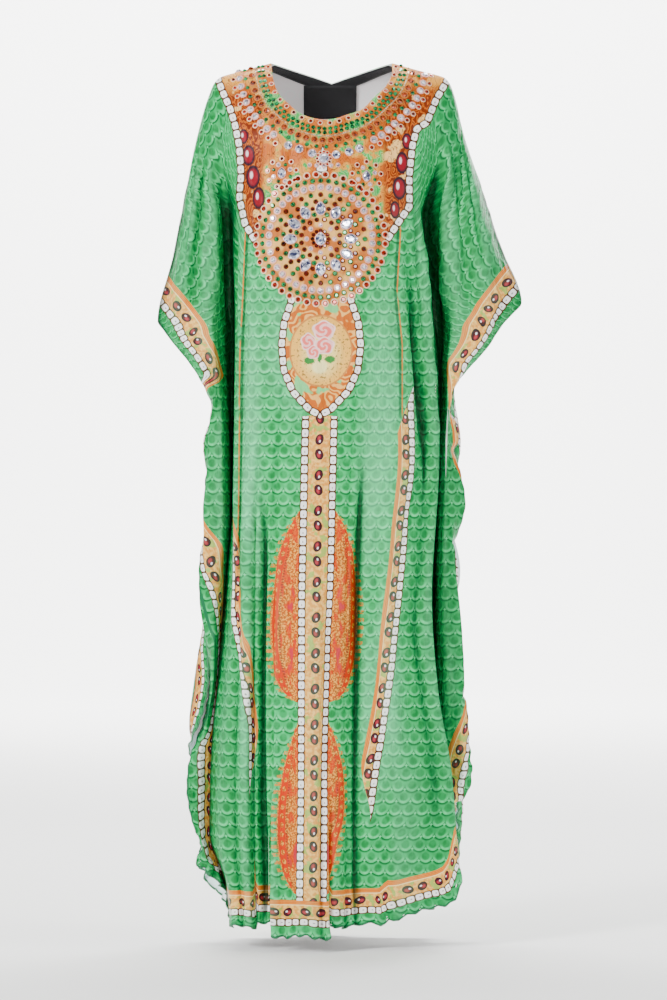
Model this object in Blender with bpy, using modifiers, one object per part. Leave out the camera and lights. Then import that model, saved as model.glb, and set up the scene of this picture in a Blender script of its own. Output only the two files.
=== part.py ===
"""Full-length kaftan, hollow, in the pose of a worn garment.

Metres, +Z up, +X to the viewer's right, the front faces -Y. The origin is at the middle of the neck, level
with the shoulder's highest point. Tables are in millimetres: "drop" is the distance below the origin, "x" is
across and "y" is the depth, negative in front. "across" is 0 on the centre line and 1 on the free edge.
"""
import math

import bmesh
import bpy
import numpy as np
from mathutils import Vector
from mathutils.bvhtree import BVHTree

MM = 0.001

# Driving sizes, millimetres
CLOTH = 1.5
SEAM_GAP = 0.3
SHOULDER_BLEND = (90.0, 250.0)
TAPE_WIDTH = 19.0
TAPE_THICK = 1.0
TAPE_ACROSS = 0.7
FACET_ROOM = 0.8
LABEL_SIZE = (84.0, 50.0)
LABEL_CENTRE = (-1.5, 54.0)
LABEL_THICK = 0.8
LABEL_GRID = (4, 7)
HEM_WAVE_LENGTH = 24.0
HEM_WAVE_HEIGHT = 3.2
HEM_BAND = 14.0

# The tape starts this share of its width below the neck's edge
TAPE_START = 0.02

# Mesh density
FRONT_ROWS = 37
BACK_ROWS = 30
FRONT_STEPS = (5, 5, 3, 3, 4, 4)
BACK_STEPS = (4, 4, 3, 3, 3, 4)
HEM_SPLIT = 3

# Front and back stay on their own sides of the middle plane out to here
STITCHED_ACROSS = 0.75

# Guide lines cut each section at these places across the half width
STATIONS = {
    "centre": 0.0, "valley": 0.26, "roll": 0.47, "stitch": 0.58, "wing": 0.69, "fold": 0.84, "edge": 1.0,
}

# The shoulder and arm line, where front and back are joined: drop, x
ARM_LINE = {
    "left": ((0, -94), (10, -130), (25, -178), (50, -191), (100, -206), (200, -227), (300, -247), (405, -271)),
    "right": ((0, 96), (10, 131), (25, 181), (50, 193), (100, 205), (200, 237), (300, 270), (376, 299)),
}

# Free edge of the front below the sleeve's tip, a row for each turn of the cascade: drop, x, y
FRONT_EDGE = {
    "left": (
        (422, -260, -20), (466, -224, -42), (500, -203, -50), (530, -189, -48), (552, -183, -30),
        (575, -179, -14), (650, -176, -12), (700, -182, -16), (735, -196, -32), (797, -206, -46),
        (850, -204, -50), (890, -198, -45), (925, -192, -34), (970, -189, -22), (1030, -198, -14),
        (1070, -212, -20), (1100, -222, -34), (1136, -225, -42), (1180, -219, -42), (1215, -211, -36),
        (1240, -202, -26), (1262, -216, -20),
    ),
    "right": (
        (392, 286, -16), (416, 266, -30), (444, 249, -40), (470, 227, -48), (502, 198, -52),
        (523, 187, -42), (542, 182, -20), (573, 199, -18), (592, 199, -20), (608, 191, -20),
        (640, 201, -30), (691, 209, -34), (735, 199, -24), (769, 184, -14), (850, 180, -12),
        (950, 188, -14), (985, 204, -26), (1010, 213, -36), (1060, 215, -42), (1118, 219, -44),
        (1146, 212, -40), (1165, 195, -26), (1265, 186, -22),
    ),
}

# Free edge of the back; on the left it wraps forward between 900 and 1060
BACK_EDGE = {
    "left": (
        (425, -256, 20), (466, -222, 42), (505, -198, 52), (545, -184, 36), (600, -190, 30),
        (680, -200, 44), (760, -192, 52), (830, -186, 34), (880, -192, 10), (915, -195, -14),
        (965, -192, -36), (1005, -197, -40), (1035, -206, -38), (1060, -217, -28), (1078, -223, -6),
        (1110, -212, 24), (1180, -200, 46), (1262, -208, 34),
    ),
    "right": (
        (395, 282, 16), (430, 256, 38), (480, 214, 52), (520, 188, 44), (570, 186, 26),
        (640, 200, 38), (710, 196, 54), (780, 186, 40), (850, 190, 26), (930, 202, 44),
        (1010, 196, 56), (1090, 188, 36), (1160, 196, 28), (1265, 200, 46),
    ),
}

# Centre line: drop, x, y
FRONT_CENTRE = (
    (0, 1, -6), (10, 0, -30), (25, -3, -48), (50, -7, -68), (98, -10, -92), (150, -13, -108),
    (250, -16, -119), (400, -15, -124), (700, -20, -120), (1000, -25, -124), (1362, -28, -131),
)
BACK_CENTRE = (
    (0, 1, 6), (10, 1, 32), (26, 1, 51), (60, 0, 74), (120, 0, 95), (220, 0, 104),
    (450, -4, 96), (750, -8, 94), (1050, -10, 104), (1362, -12, 122),
)

# Inner guide lines of each half: drop, x, y. The top rows only matter below the shoulder blend.
FRONT_LINES = {
    "left": {
        "valley": ((90, -62, -84), (260, -76, -114), (500, -90, -116), (700, -104, -104), (950, -108, -92),
                   (1150, -107, -88), (1362, -104, -94)),
        "roll": ((90, -118, -72), (260, -137, -76), (400, -140, -74), (700, -144, -70), (850, -148, -72),
                 (1000, -160, -72), (1150, -170, -70), (1220, -170, -70), (1300, -156, -78), (1362, -151, -86)),
        "stitch": ((90, -150, -50), (180, -157, -34), (270, -160, -9), (400, -156, -2), (700, -157, -2),
                   (800, -163, -3), (890, -172, -5), (965, -178, -8), (1030, -184, -14), (1150, -190, -20),
                   (1210, -191, -18), (1290, -166, -6), (1362, -160, -2)),
        "wing": ((90, -168, -38), (180, -180, -42), (270, -186, -46), (400, -188, -54), (470, -182, -60),
                 (530, -172, -56), (700, -170, -52), (800, -172, -50), (890, -178, -40), (965, -182, -30),
                 (1030, -190, -26), (1130, -196, -26), (1210, -196, -24), (1290, -176, -28)),
        "fold": ((90, -186, -26), (180, -205, -40), (270, -220, -45), (350, -233, -45), (405, -238, -44),
                 (466, -207, -60), (530, -186, -64), (575, -191, -46), (650, -194, -44), (700, -199, -46),
                 (750, -197, -52), (810, -188, -60), (890, -184, -54), (970, -186, -39), (1040, -196, -32),
                 (1100, -209, -38), (1180, -208, -40), (1262, -192, -34)),
    },
    "right": {
        "valley": ((90, 60, -84), (260, 66, -114), (500, 60, -116), (700, 46, -106), (950, 40, -94),
                   (1150, 38, -90), (1362, 40, -96)),
        "roll": ((90, 118, -72), (270, 134, -84), (400, 148, -78), (530, 162, -66), (620, 168, -66),
                 (844, 153, -84), (975, 164, -86), (1108, 187, -82), (1200, 195, -76), (1300, 204, -68)),
        "stitch": ((90, 150, -50), (180, 150, -34), (270, 152, -10), (400, 166, -2), (530, 170, -2),
                   (844, 162, -2), (1100, 164, -2), (1300, 164, -2)),
        "wing": ((90, 170, -38), (180, 186, -42), (270, 196, -48), (400, 200, -56), (480, 186, -60),
                 (620, 179, -56), (844, 176, -40), (1000, 184, -44), (1120, 182, -42), (1290, 174, -34)),
        "fold": ((90, 187, -26), (180, 212, -42), (270, 236, -46), (340, 254, -46), (376, 262, -42),
                 (440, 230, -60), (502, 194, -64), (560, 184, -48), (620, 184, -46), (690, 186, -52),
                 (769, 191, -40), (822, 197, -38), (910, 205, -38), (975, 210, -42), (1020, 202, -52),
                 (1110, 206, -58), (1160, 190, -46), (1290, 184, -34)),
    },
}
BACK_LINES = {
    "left": {
        "valley": ((90, -66, 78), (260, -72, 92), (600, -70, 78), (1000, -76, 76), (1362, -84, 92)),
        "roll": ((90, -124, 58), (260, -138, 64), (600, -142, 66), (1000, -146, 72), (1362, -152, 84)),
        "stitch": ((90, -150, 48), (180, -157, 32), (270, -160, 9), (400, -156, 2), (700, -157, 2),
                   (1000, -160, 2), (1362, -160, 2)),
        "wing": ((90, -170, 36), (270, -188, 46), (400, -190, 54), (530, -174, 54), (900, -178, 46),
                 (1290, -176, 44)),
        "fold": ((90, -187, 25), (180, -205, 40), (270, -221, 45), (405, -238, 42), (466, -204, 60),
                 (530, -184, 64), (600, -202, 46), (690, -190, 66), (800, -206, 56), (880, -204, 26),
                 (930, -209, 4), (980, -215, -8), (1040, -221, -12), (1078, -214, 12), (1140, -198, 48),
                 (1262, -196, 56)),
    },
    "right": {
        "valley": ((90, 66, 78), (260, 74, 92), (600, 80, 80), (1000, 70, 78), (1362, 66, 96)),
        "roll": ((90, 124, 58), (260, 138, 64), (600, 146, 66), (1000, 150, 74), (1362, 160, 84)),
        "stitch": ((90, 150, 48), (180, 150, 32), (270, 152, 10), (400, 166, 2), (530, 170, 2),
                   (844, 162, 2), (1100, 164, 2), (1362, 164, 2)),
        "wing": ((90, 172, 36), (270, 200, 46), (400, 202, 54), (530, 182, 54), (900, 180, 52),
                 (1290, 178, 50)),
        "fold": ((90, 188, 25), (180, 212, 40), (270, 238, 45), (376, 262, 42), (440, 228, 60),
                 (510, 194, 64), (600, 204, 48), (700, 186, 68), (800, 206, 56), (880, 196, 44),
                 (960, 210, 64), (1060, 190, 60), (1160, 206, 48), (1290, 198, 60)),
    },
}

# Neck opening: drop, x on each side of the centre line
FRONT_NECK = {
    "left": ((0, -94), (25, -91), (51, -83), (73, -64), (89, -44), (95, -28), (98, -10)),
    "right": ((0, 96), (15, 96), (41, 86), (60, 67), (81, 47), (90, 23), (96, 5), (98, -10)),
}
BACK_NECK = {
    "left": ((0, -94), (6, -70), (17, -28), (26, 1)),
    "right": ((0, 96), (6, 70), (17, 30), (26, 1)),
}

# Hem: across, drop
FRONT_HEM = {
    "left": ((0, 1361), (0.12, 1361), (0.26, 1354), (0.47, 1347), (0.58, 1330), (0.69, 1312), (0.84, 1286),
             (1, 1262)),
    "right": ((0, 1361), (0.12, 1359), (0.26, 1350), (0.36, 1337), (0.42, 1315), (0.47, 1278), (0.58, 1288),
              (0.84, 1276), (1, 1262)),
}
BACK_HEM = {
    "left": ((0, 1362), (0.12, 1361), (0.26, 1352), (0.47, 1340), (0.58, 1326), (0.84, 1292), (1, 1262)),
    "right": ((0, 1362), (0.12, 1361), (0.26, 1352), (0.47, 1336), (0.58, 1322), (0.84, 1290), (1, 1262)),
}

# Largest folds, a row each: side, drop and across at the top, the same at the foot, half width across, depth
# inwards (a minus is a ridge)
FOLD_COLUMNS = ("side", "top", "top_across", "foot", "foot_across", "half_width", "depth")
FRONT_FOLDS = (
    ("left", 270, 0.445, 900, 0.43, 0.030, 9),
    ("left", 560, 0.365, 1400, 0.345, 0.045, -7),
    ("left", 700, 0.10, 1400, 0.13, 0.060, 5),
    ("left", 620, 0.26, 1400, 0.26, 0.036, 8),
    ("left", 130, 0.80, 400, 0.76, 0.055, 10),
    ("right", 230, 0.40, 900, 0.435, 0.030, 10),
    ("right", 190, 0.50, 900, 0.385, 0.026, -6),
    ("right", 560, 0.345, 1400, 0.36, 0.045, -7),
    ("right", 760, 0.10, 1400, 0.08, 0.055, 5),
    ("right", 560, 0.26, 1400, 0.26, 0.036, 8),
    ("right", 130, 0.76, 400, 0.73, 0.050, 9),
    ("right", 300, 0.86, 420, 0.90, 0.050, 6),
)
BACK_FOLDS = (
    ("left", 150, 0.10, 1400, 0.13, 0.070, 9),
    ("left", 350, 0.36, 1400, 0.37, 0.050, -10),
    ("left", 130, 0.76, 420, 0.75, 0.060, 9),
    ("right", 180, 0.12, 1400, 0.10, 0.070, 8),
    ("right", 400, 0.37, 1400, 0.36, 0.050, -10),
    ("right", 130, 0.77, 420, 0.74, 0.060, 9),
)

# Large stones: x, drop, width, height, turn in degrees
ROSETTE_CENTRE = (-16.0, 284.0)
PETAL_COUNT = 12
PETAL_RADIUS = 47.0
PETAL_SIZE = (15.0, 20.0)
DROP_STONES = {
    "stone_drop_centre": (-16.0, 284.0, 16.0, 19.0),
    "stone_drop_left": (-76.0, 181.0, 12.0, 16.0),
    "stone_drop_right": (55.0, 186.0, 12.0, 16.0),
}
ROUND_STONES = {
    "stone_round_top": (-11.0, 159.0, 15.0),
    "stone_round_1": (-66.0, 138.0, 12.0),
    "stone_round_2": (-49.0, 144.0, 12.0),
    "stone_round_3": (-29.0, 151.0, 12.0),
    "stone_round_4": (8.0, 153.0, 12.0),
    "stone_round_5": (28.0, 148.5, 12.0),
    "stone_round_6": (44.0, 143.0, 12.0),
}
STONE_HEIGHT = 4.0
STONE_SIDES = 8
STONE_SEAT_GAP = 0.5
STONE_POINT = 0.45
# Each ring of a stone: share of its width, share of its height
STONE_RINGS = ((0.82, 0.0), (1.0, 0.45), (0.55, 1.0))
RAY_START = 400.0
RAY_LIFT = 20.0

COLOURS = {
    "front_panel": ((0.08, 0.55, 0.22), 0.35, 0.0),
    "back_panel": ((0.08, 0.50, 0.20), 0.35, 0.0),
    "neck_facing": ((0.01, 0.01, 0.012), 0.8, 0.0),
    "neck_label": ((0.01, 0.01, 0.012), 0.6, 0.0),
    "stone": ((0.80, 0.78, 0.85), 0.08, 0.0),
}


def slopes_between(steps, rises):
    """Slopes of a monotone cubic, so that a line never swings past the rows of its table."""
    before, after = rises[:-1], rises[1:]
    heavy, light = 2 * steps[1:] + steps[:-1], steps[1:] + 2 * steps[:-1]
    same_way = before * after > 0
    before, after = np.where(same_way, before, 1.0), np.where(same_way, after, 1.0)
    mean = (heavy + light) / (heavy / before + light / after)
    return np.concatenate([rises[:1], np.where(same_way, mean, 0.0), rises[-1:]])


def cubic(t, step, low, high, slope_low, slope_high):
    return ((1 + 2 * t) * (1 - t) ** 2 * low + t * (1 - t) ** 2 * step * slope_low
            + t * t * (3 - 2 * t) * high + t * t * (t - 1) * step * slope_high)


def table_column(table, column, at):
    """A column of a table as a smooth line over its first column."""
    stations = np.array([row[0] for row in table], float)
    values = np.array([row[column] for row in table], float)
    steps = np.diff(stations)
    slopes = slopes_between(steps, np.diff(values) / steps)
    at = np.clip(np.asarray(at, float), stations[0], stations[-1])
    k = np.clip(np.searchsorted(stations, at, side="right") - 1, 0, len(steps) - 1)
    t = (at - stations[k]) / steps[k]
    return cubic(t, steps[k], values[k], values[k + 1], slopes[k], slopes[k + 1])


def across_line(values, across, level_centre):
    """A smooth line through the guide lines' values, one row of values for each station."""
    stations = np.array(list(STATIONS.values()))
    values = np.stack(values)
    steps = np.diff(stations)[:, None]
    slopes = slopes_between(steps, np.diff(values, axis=0) / steps)
    if level_centre:
        slopes[0] = 0.0
    k = np.clip(np.searchsorted(stations, across, side="right") - 1, 0, len(steps) - 1)
    place = np.arange(len(across))
    t = (across - stations[k]) / steps[k, 0]
    return cubic(t, steps[k, 0], values[k, place], values[k + 1, place], slopes[k, place], slopes[k + 1, place])


def smooth_step(low, high, at):
    t = np.clip((np.asarray(at, float) - low) / (high - low), 0.0, 1.0)
    return t * t * (3 - 2 * t)


class Panel:
    """One of the two great pieces, as a function of across (-1 to 1) and drop."""

    def __init__(self, facing, centre, lines, edge, neck, hem, folds, row_count, steps):
        self.facing = facing
        self.centre = centre
        self.lines = lines
        self.edge = edge
        self.neck = neck
        self.hem = hem
        self.folds = [dict(zip(FOLD_COLUMNS, row)) for row in folds]
        self.row_count = row_count
        self.steps = steps
        self.near = facing * SEAM_GAP / 2

    def edge_table(self, side):
        joined = [(drop, x, self.near) for drop, x in ARM_LINE[side]]
        return tuple(joined) + self.edge[side]

    def half_section(self, side, across, drop):
        """x and y of one half's cloth, before its folds, for flat arrays of places."""
        tables = {**self.lines[side], "centre": self.centre, "edge": self.edge_table(side)}
        across_x = [table_column(tables[name], 1, drop) for name in STATIONS]
        across_y = [table_column(tables[name], 2, drop) for name in STATIONS]
        x = across_line(across_x, across, level_centre=False)
        y = across_line(across_y, across, level_centre=True)
        angle = across * math.pi / 2
        round_x = across_x[0] + (across_x[-1] - across_x[0]) * np.sin(angle)
        round_y = across_y[0] * np.cos(angle) + self.near * (1 - np.cos(angle))
        worn = smooth_step(*SHOULDER_BLEND, drop)
        return round_x + (x - round_x) * worn, round_y + (y - round_y) * worn

    def fold_depth(self, side, across, drop):
        depth = np.zeros(np.shape(drop))
        for fold in self.folds:
            if fold["side"] != side:
                continue
            length = fold["foot"] - fold["top"]
            along = np.clip((drop - fold["top"]) / length, 0.0, 1.0)
            middle = fold["top_across"] + (fold["foot_across"] - fold["top_across"]) * along
            aside = np.clip(np.abs(across - middle) / fold["half_width"], 0.0, 1.0)
            fade_in = smooth_step(0.0, 0.22, (drop - fold["top"]) / length)
            fade_out = 1 - smooth_step(0.85, 1.0, (drop - fold["top"]) / length)
            depth = depth + fold["depth"] * (0.5 + 0.5 * np.cos(math.pi * aside)) * fade_in * fade_out
        return depth

    def points(self, across, drop):
        """Inner face of the cloth, millimetres, for arrays of places."""
        across, drop = np.broadcast_arrays(np.asarray(across, float), np.asarray(drop, float))
        result = np.zeros(across.shape + (3,))
        for side, mask in (("left", across < 0), ("right", across >= 0)):
            if not mask.any():
                continue
            a, d = np.abs(across[mask]), drop[mask]
            x, y = self.half_section(side, a, d)
            nudge = 0.004
            x_next, y_next = self.half_section(side, np.minimum(a + nudge, 1.0), d)
            x_last, y_last = self.half_section(side, np.maximum(a - nudge, 0.0), d)
            run_x, run_y = x_next - x_last, y_next - y_last
            run = np.maximum(np.hypot(run_x, run_y), 1e-6)
            turn = self.facing if side == "right" else -self.facing
            depth = self.fold_depth(side, a, d)
            x = x + turn * run_y / run * depth
            y = y - turn * run_x / run * depth
            crosses = (a < STITCHED_ACROSS) & (y * self.facing < abs(self.near))
            y = np.where(crosses, self.near, y)
            result[mask] = np.stack([x, y, -d], axis=-1)
        return result

    def neck_drops(self, columns):
        """Drop at which each column starts: on the neck's edge, or 0 at the shoulder line."""
        low = np.zeros(len(columns))
        high = np.array([self.neck["left" if a < 0 else "right"][-1][0] for a in columns], float)
        for _ in range(30):
            middle = (low + high) / 2
            centre_x = table_column(self.centre, 1, middle)
            hole = np.where(columns < 0, table_column(self.neck["left"], 1, middle),
                            table_column(self.neck["right"], 1, middle))
            inside = np.abs(self.points(columns, middle)[:, 0] - centre_x) < np.abs(hole - centre_x)
            low, high = np.where(inside, middle, low), np.where(inside, high, middle)
        return np.where(np.abs(columns) >= 1, 0.0, (low + high) / 2)

    def hem_drops(self, columns):
        return np.where(columns < 0, table_column(self.hem["left"], 1, np.abs(columns)),
                        table_column(self.hem["right"], 1, np.abs(columns)))

    def edge_share(self, side, row_count):
        """How far down each row meets the free edge, in equal steps along that edge."""
        foot = self.hem[side][-1][1]
        drops = np.linspace(0.0, foot, 600)
        table = self.edge_table(side)
        path = np.stack([table_column(table, 1, drops), table_column(table, 2, drops), drops], axis=-1)
        walked = np.concatenate([[0.0], np.cumsum(np.linalg.norm(np.diff(path, axis=0), axis=1))])
        return np.interp(np.linspace(0.0, walked[-1], row_count + 1), walked, drops) / foot

    def columns(self, split=1):
        half = [0.0]
        stations = list(STATIONS.values())
        for low, high, count in zip(stations[:-1], stations[1:], self.steps):
            for k in range(1, count * split + 1):
                half.append(low + (high - low) * k / (count * split))
        return np.array([-a for a in reversed(half[1:])] + half)

    def build_rows(self):
        """Rows of points from the neck down to the hem."""
        shares = {side: self.edge_share(side, self.row_count) for side in ("left", "right")}
        coarse = self.columns()
        tops, feet = self.neck_drops(coarse), self.hem_drops(coarse)
        pull = np.abs(coarse) ** 2 * (3 - 2 * np.abs(coarse))
        edges = np.stack([shares["left" if a < 0 else "right"] for a in coarse])
        rows = []
        for row in range(self.row_count):
            share = row / self.row_count
            drops = tops + (feet - tops) * (share * (1 - pull) + edges[:, row] * pull)
            rows.append(self.points(coarse, drops))
        return rows + self.hem_rows()

    def hem_rows(self):
        """A plain row just above the hem and the waved edge, both with more columns than the cloth above."""
        fine = self.columns(HEM_SPLIT)
        feet = self.hem_drops(fine)
        hem = self.points(fine, feet)
        above = self.points(fine, feet - HEM_BAND)
        walked = np.concatenate([[0.0], np.cumsum(np.linalg.norm(np.diff(hem, axis=0), axis=1))])
        swing = np.sin(2 * math.pi * walked / HEM_WAVE_LENGTH) * HEM_WAVE_HEIGHT
        return [above, hem + self.outward(hem, hem - above) * swing[:, None]]

    def outward(self, row, down):
        """Unit vectors out of the cloth along a row, from the row and the way down from it."""
        normal = np.cross(np.gradient(row, axis=0), down) * self.facing
        return normal / np.maximum(np.linalg.norm(normal, axis=1, keepdims=True), 1e-9)


def zip_rows(mesh, upper, lower, flip):
    """Join two rows of vertices with triangles or quads, whatever their counts."""
    ratio = (len(lower) - 1) // (len(upper) - 1)
    for k in range(len(upper) - 1):
        low = [lower[k * ratio + j] for j in range(ratio + 1)]
        if ratio == 1:
            face = [upper[k], low[0], low[1], upper[k + 1]]
            mesh.faces.new(face[::-1] if flip else face)
            continue
        middle = ratio // 2
        for j in range(ratio):
            corner = upper[k] if j <= middle - 1 or (j == middle and ratio % 2 == 1) else upper[k + 1]
            face = [corner, low[j], low[j + 1]]
            mesh.faces.new(face[::-1] if flip else face)
        split = middle + 1 if ratio % 2 == 1 else middle
        face = [upper[k], low[split], upper[k + 1]]
        mesh.faces.new(face[::-1] if flip else face)


def material(name):
    key = name if name in COLOURS else "stone"
    colour, roughness, metallic = COLOURS[key]
    finish = bpy.data.materials.new(name)
    finish.use_nodes = True
    shader = finish.node_tree.nodes["Principled BSDF"]
    shader.inputs["Base Color"].default_value = (*colour, 1.0)
    shader.inputs["Roughness"].default_value = roughness
    shader.inputs["Metallic"].default_value = metallic
    return finish


def add_object(name, mesh, collection):
    data = bpy.data.meshes.new(name)
    mesh.to_mesh(data)
    mesh.free()
    data.shade_smooth()
    item = bpy.data.objects.new(name, data)
    item.data.materials.append(material(name))
    collection.objects.link(item)
    return item


def panel_object(name, panel, collection):
    """The panel's inner face, given its thickness outwards."""
    mesh = bmesh.new()
    rows = [[mesh.verts.new(Vector(p) * MM) for p in row] for row in panel.build_rows()]
    for upper, lower in zip(rows[:-1], rows[1:]):
        zip_rows(mesh, upper, lower, flip=panel.facing > 0)
    item = add_object(name, mesh, collection)
    wall = item.modifiers.new("cloth", "SOLIDIFY")
    wall.thickness = CLOTH * MM
    wall.offset = 1.0
    return item


def evaluated_tree(item):
    graph = bpy.context.evaluated_depsgraph_get()
    return BVHTree.FromObject(item, graph)


def plate(name, inner, outer, collection):
    """A thin closed plate between two like grids of points, metres."""
    mesh = bmesh.new()
    count = (len(inner), len(inner[0]))
    near = [[mesh.verts.new(p) for p in row] for row in inner]
    far = [[mesh.verts.new(p) for p in row] for row in outer]
    for i in range(count[0] - 1):
        for j in range(count[1] - 1):
            mesh.faces.new([near[i][j], near[i][j + 1], near[i + 1][j + 1], near[i + 1][j]])
            mesh.faces.new([far[i][j], far[i + 1][j], far[i + 1][j + 1], far[i][j + 1]])
    rim = [(0, j) for j in range(count[1])]
    rim += [(i, count[1] - 1) for i in range(1, count[0])]
    rim += [(count[0] - 1, j) for j in range(count[1] - 2, -1, -1)]
    rim += [(i, 0) for i in range(count[0] - 2, 0, -1)]
    for (i, j), (k, m) in zip(rim, rim[1:] + rim[:1]):
        mesh.faces.new([near[i][j], far[i][j], far[k][m], near[k][m]])
    bmesh.ops.recalc_face_normals(mesh, faces=mesh.faces)
    return add_object(name, mesh, collection)


def neck_facing(back, collection):
    """The tape inside the back neck, made from the back's own top rows and moved in."""
    rows = back.build_rows()[:2]
    top, below = rows[0], rows[1]
    keep = [k for k, a in enumerate(back.columns()) if abs(a) <= TAPE_ACROSS]
    reach = np.linalg.norm(below - top, axis=1)
    share = np.minimum(TAPE_WIDTH / reach, 1.0)
    low = top + (below - top) * share[:, None]
    inward = -back.outward(top, below - top)
    lift = FACET_ROOM
    grids = []
    for depth in (lift, lift + TAPE_THICK):
        grids.append([[Vector(p + n * depth) * MM for p, n in zip(edge[keep], inward[keep])]
                      for edge in (top + (low - top) * TAPE_START, low)])
    return plate("neck_facing", grids[0], grids[1], collection)


def neck_label(back_item, collection):
    """The plain label, hung from the tape, just clear of the back's inner face."""
    tree = evaluated_tree(back_item)
    width, height = LABEL_SIZE
    row_count, column_count = LABEL_GRID
    grid = [[], []]
    lift = FACET_ROOM + TAPE_THICK + FACET_ROOM
    for i in range(row_count):
        rows = [[], []]
        for j in range(column_count):
            x = LABEL_CENTRE[0] + width * (j / (column_count - 1) - 0.5)
            z = -(LABEL_CENTRE[1] + height * (i / (row_count - 1) - 0.5))
            hit, normal, _, _ = tree.ray_cast(Vector((x, 0.0, z)) * MM, Vector((0.0, 1.0, 0.0)))
            rows[0].append(hit - Vector((0.0, lift / abs(normal.y) * MM, 0.0)))
            rows[1].append(hit - Vector((0.0, (lift / abs(normal.y) + LABEL_THICK) * MM, 0.0)))
        grid[0].append(rows[0])
        grid[1].append(rows[1])
    return plate("neck_label", grid[0], grid[1], collection)


def stone_outline(width, height, pointed):
    """Outline of a stone: an oval, or a drop whose point is up."""
    places = []
    for k in range(STONE_SIDES):
        angle = 2 * math.pi * k / STONE_SIDES
        narrow = 1.0 - STONE_POINT * max(0.0, math.cos(angle)) ** 2 if pointed else 1.0
        places.append((width / 2 * math.sin(angle) * narrow, height / 2 * math.cos(angle)))
    return places


def stone(name, tree, centre, size, turn, pointed, collection):
    """A faceted stone whose flat back follows the cloth that it is set on."""
    start = Vector((centre[0], -RAY_START, -centre[1])) * MM
    seat, normal, _, _ = tree.ray_cast(start, Vector((0.0, 1.0, 0.0)))
    across = Vector((1.0, 0.0, 0.0))
    across = (across - normal * across.dot(normal)).normalized()
    up = normal.cross(across) * -1
    if up.z < 0:
        up = -up
    mesh = bmesh.new()
    rings = []
    for share, level in STONE_RINGS:
        ring = []
        for a, b in stone_outline(*size, pointed):
            x = (a * math.cos(turn) + b * math.sin(turn)) * share
            z = (b * math.cos(turn) - a * math.sin(turn)) * share
            place = seat + (across * x + up * z) * MM
            if level == 0.0:
                foot = tree.ray_cast(place + normal * RAY_LIFT * MM, -normal)[0]
                place = (foot or place) + normal * STONE_SEAT_GAP * MM
            else:
                place = place + normal * (STONE_HEIGHT * level + SEAM_GAP) * MM
            ring.append(mesh.verts.new(place))
        rings.append(ring)
    for lower, upper in zip(rings[:-1], rings[1:]):
        for k in range(STONE_SIDES):
            n = (k + 1) % STONE_SIDES
            mesh.faces.new([lower[k], lower[n], upper[n], upper[k]])
    for ring in (rings[0], rings[-1]):
        middle = sum((v.co for v in ring), Vector()) / STONE_SIDES
        if ring is rings[0]:
            foot = tree.ray_cast(middle + normal * RAY_LIFT * MM, -normal)[0]
            middle = foot + normal * STONE_SEAT_GAP * MM
        hub = mesh.verts.new(middle)
        for k in range(STONE_SIDES):
            mesh.faces.new([ring[k], ring[(k + 1) % STONE_SIDES], hub])
    bmesh.ops.recalc_face_normals(mesh, faces=mesh.faces)
    return add_object(name, mesh, collection)


def build():
    for item in list(bpy.data.objects):
        bpy.data.objects.remove(item, do_unlink=True)
    collection = bpy.data.collections.new("kaftan")
    bpy.context.scene.collection.children.link(collection)

    front = Panel(-1, FRONT_CENTRE, FRONT_LINES, FRONT_EDGE, FRONT_NECK, FRONT_HEM, FRONT_FOLDS,
                  FRONT_ROWS, FRONT_STEPS)
    back = Panel(1, BACK_CENTRE, BACK_LINES, BACK_EDGE, BACK_NECK, BACK_HEM, BACK_FOLDS,
                 BACK_ROWS, BACK_STEPS)
    front_item = panel_object("front_panel", front, collection)
    back_item = panel_object("back_panel", back, collection)
    neck_facing(back, collection)
    neck_label(back_item, collection)

    tree = evaluated_tree(front_item)
    for k in range(PETAL_COUNT):
        angle = 2 * math.pi * k / PETAL_COUNT
        centre = (ROSETTE_CENTRE[0] + PETAL_RADIUS * math.sin(angle),
                  ROSETTE_CENTRE[1] - PETAL_RADIUS * math.cos(angle))
        stone(f"stone_petal_{k + 1:02d}", tree, centre, PETAL_SIZE, angle, True, collection)
    for name, (x, drop, width, height) in DROP_STONES.items():
        stone(name, tree, (x, drop), (width, height), 0.0, True, collection)
    for name, (x, drop, width) in ROUND_STONES.items():
        stone(name, tree, (x, drop), (width, width), 0.0, False, collection)


build()
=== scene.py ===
import math

import bpy
import numpy as np
from mathutils import Matrix, Vector, noise
from mathutils.bvhtree import BVHTree


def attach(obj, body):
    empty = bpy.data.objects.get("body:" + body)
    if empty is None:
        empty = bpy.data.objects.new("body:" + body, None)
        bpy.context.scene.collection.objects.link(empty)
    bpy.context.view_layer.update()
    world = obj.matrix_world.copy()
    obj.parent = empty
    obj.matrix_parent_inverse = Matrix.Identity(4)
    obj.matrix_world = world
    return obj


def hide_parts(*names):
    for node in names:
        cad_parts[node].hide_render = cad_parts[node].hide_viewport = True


# A full-length satin kaftan, hollow, in the pose of a worn garment. The frame is the CAD model's: +Z up, the
# front faces -Y, origin at the middle of the neck. Tables are in millimetres: drop is the distance below the
# origin, x is across and y is the depth, negative in front. "across" is 0 on the centre line, 1 on the free
# edge. The places in a material are millimetres too, read from each piece's own UV maps.
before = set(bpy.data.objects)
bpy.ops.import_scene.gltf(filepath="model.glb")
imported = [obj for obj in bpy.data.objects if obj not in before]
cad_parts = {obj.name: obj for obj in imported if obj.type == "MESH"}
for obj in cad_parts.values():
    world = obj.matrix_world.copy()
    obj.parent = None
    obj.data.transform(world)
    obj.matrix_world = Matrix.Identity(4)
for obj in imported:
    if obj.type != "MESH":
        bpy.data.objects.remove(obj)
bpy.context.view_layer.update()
mm = 0.001

# Guide lines cut each section at these places across the half width
stations = {
    "centre": 0.0, "valley": 0.26, "roll": 0.47, "stitch": 0.58, "wing": 0.69, "fold": 0.84, "edge": 1.0,
}

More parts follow.
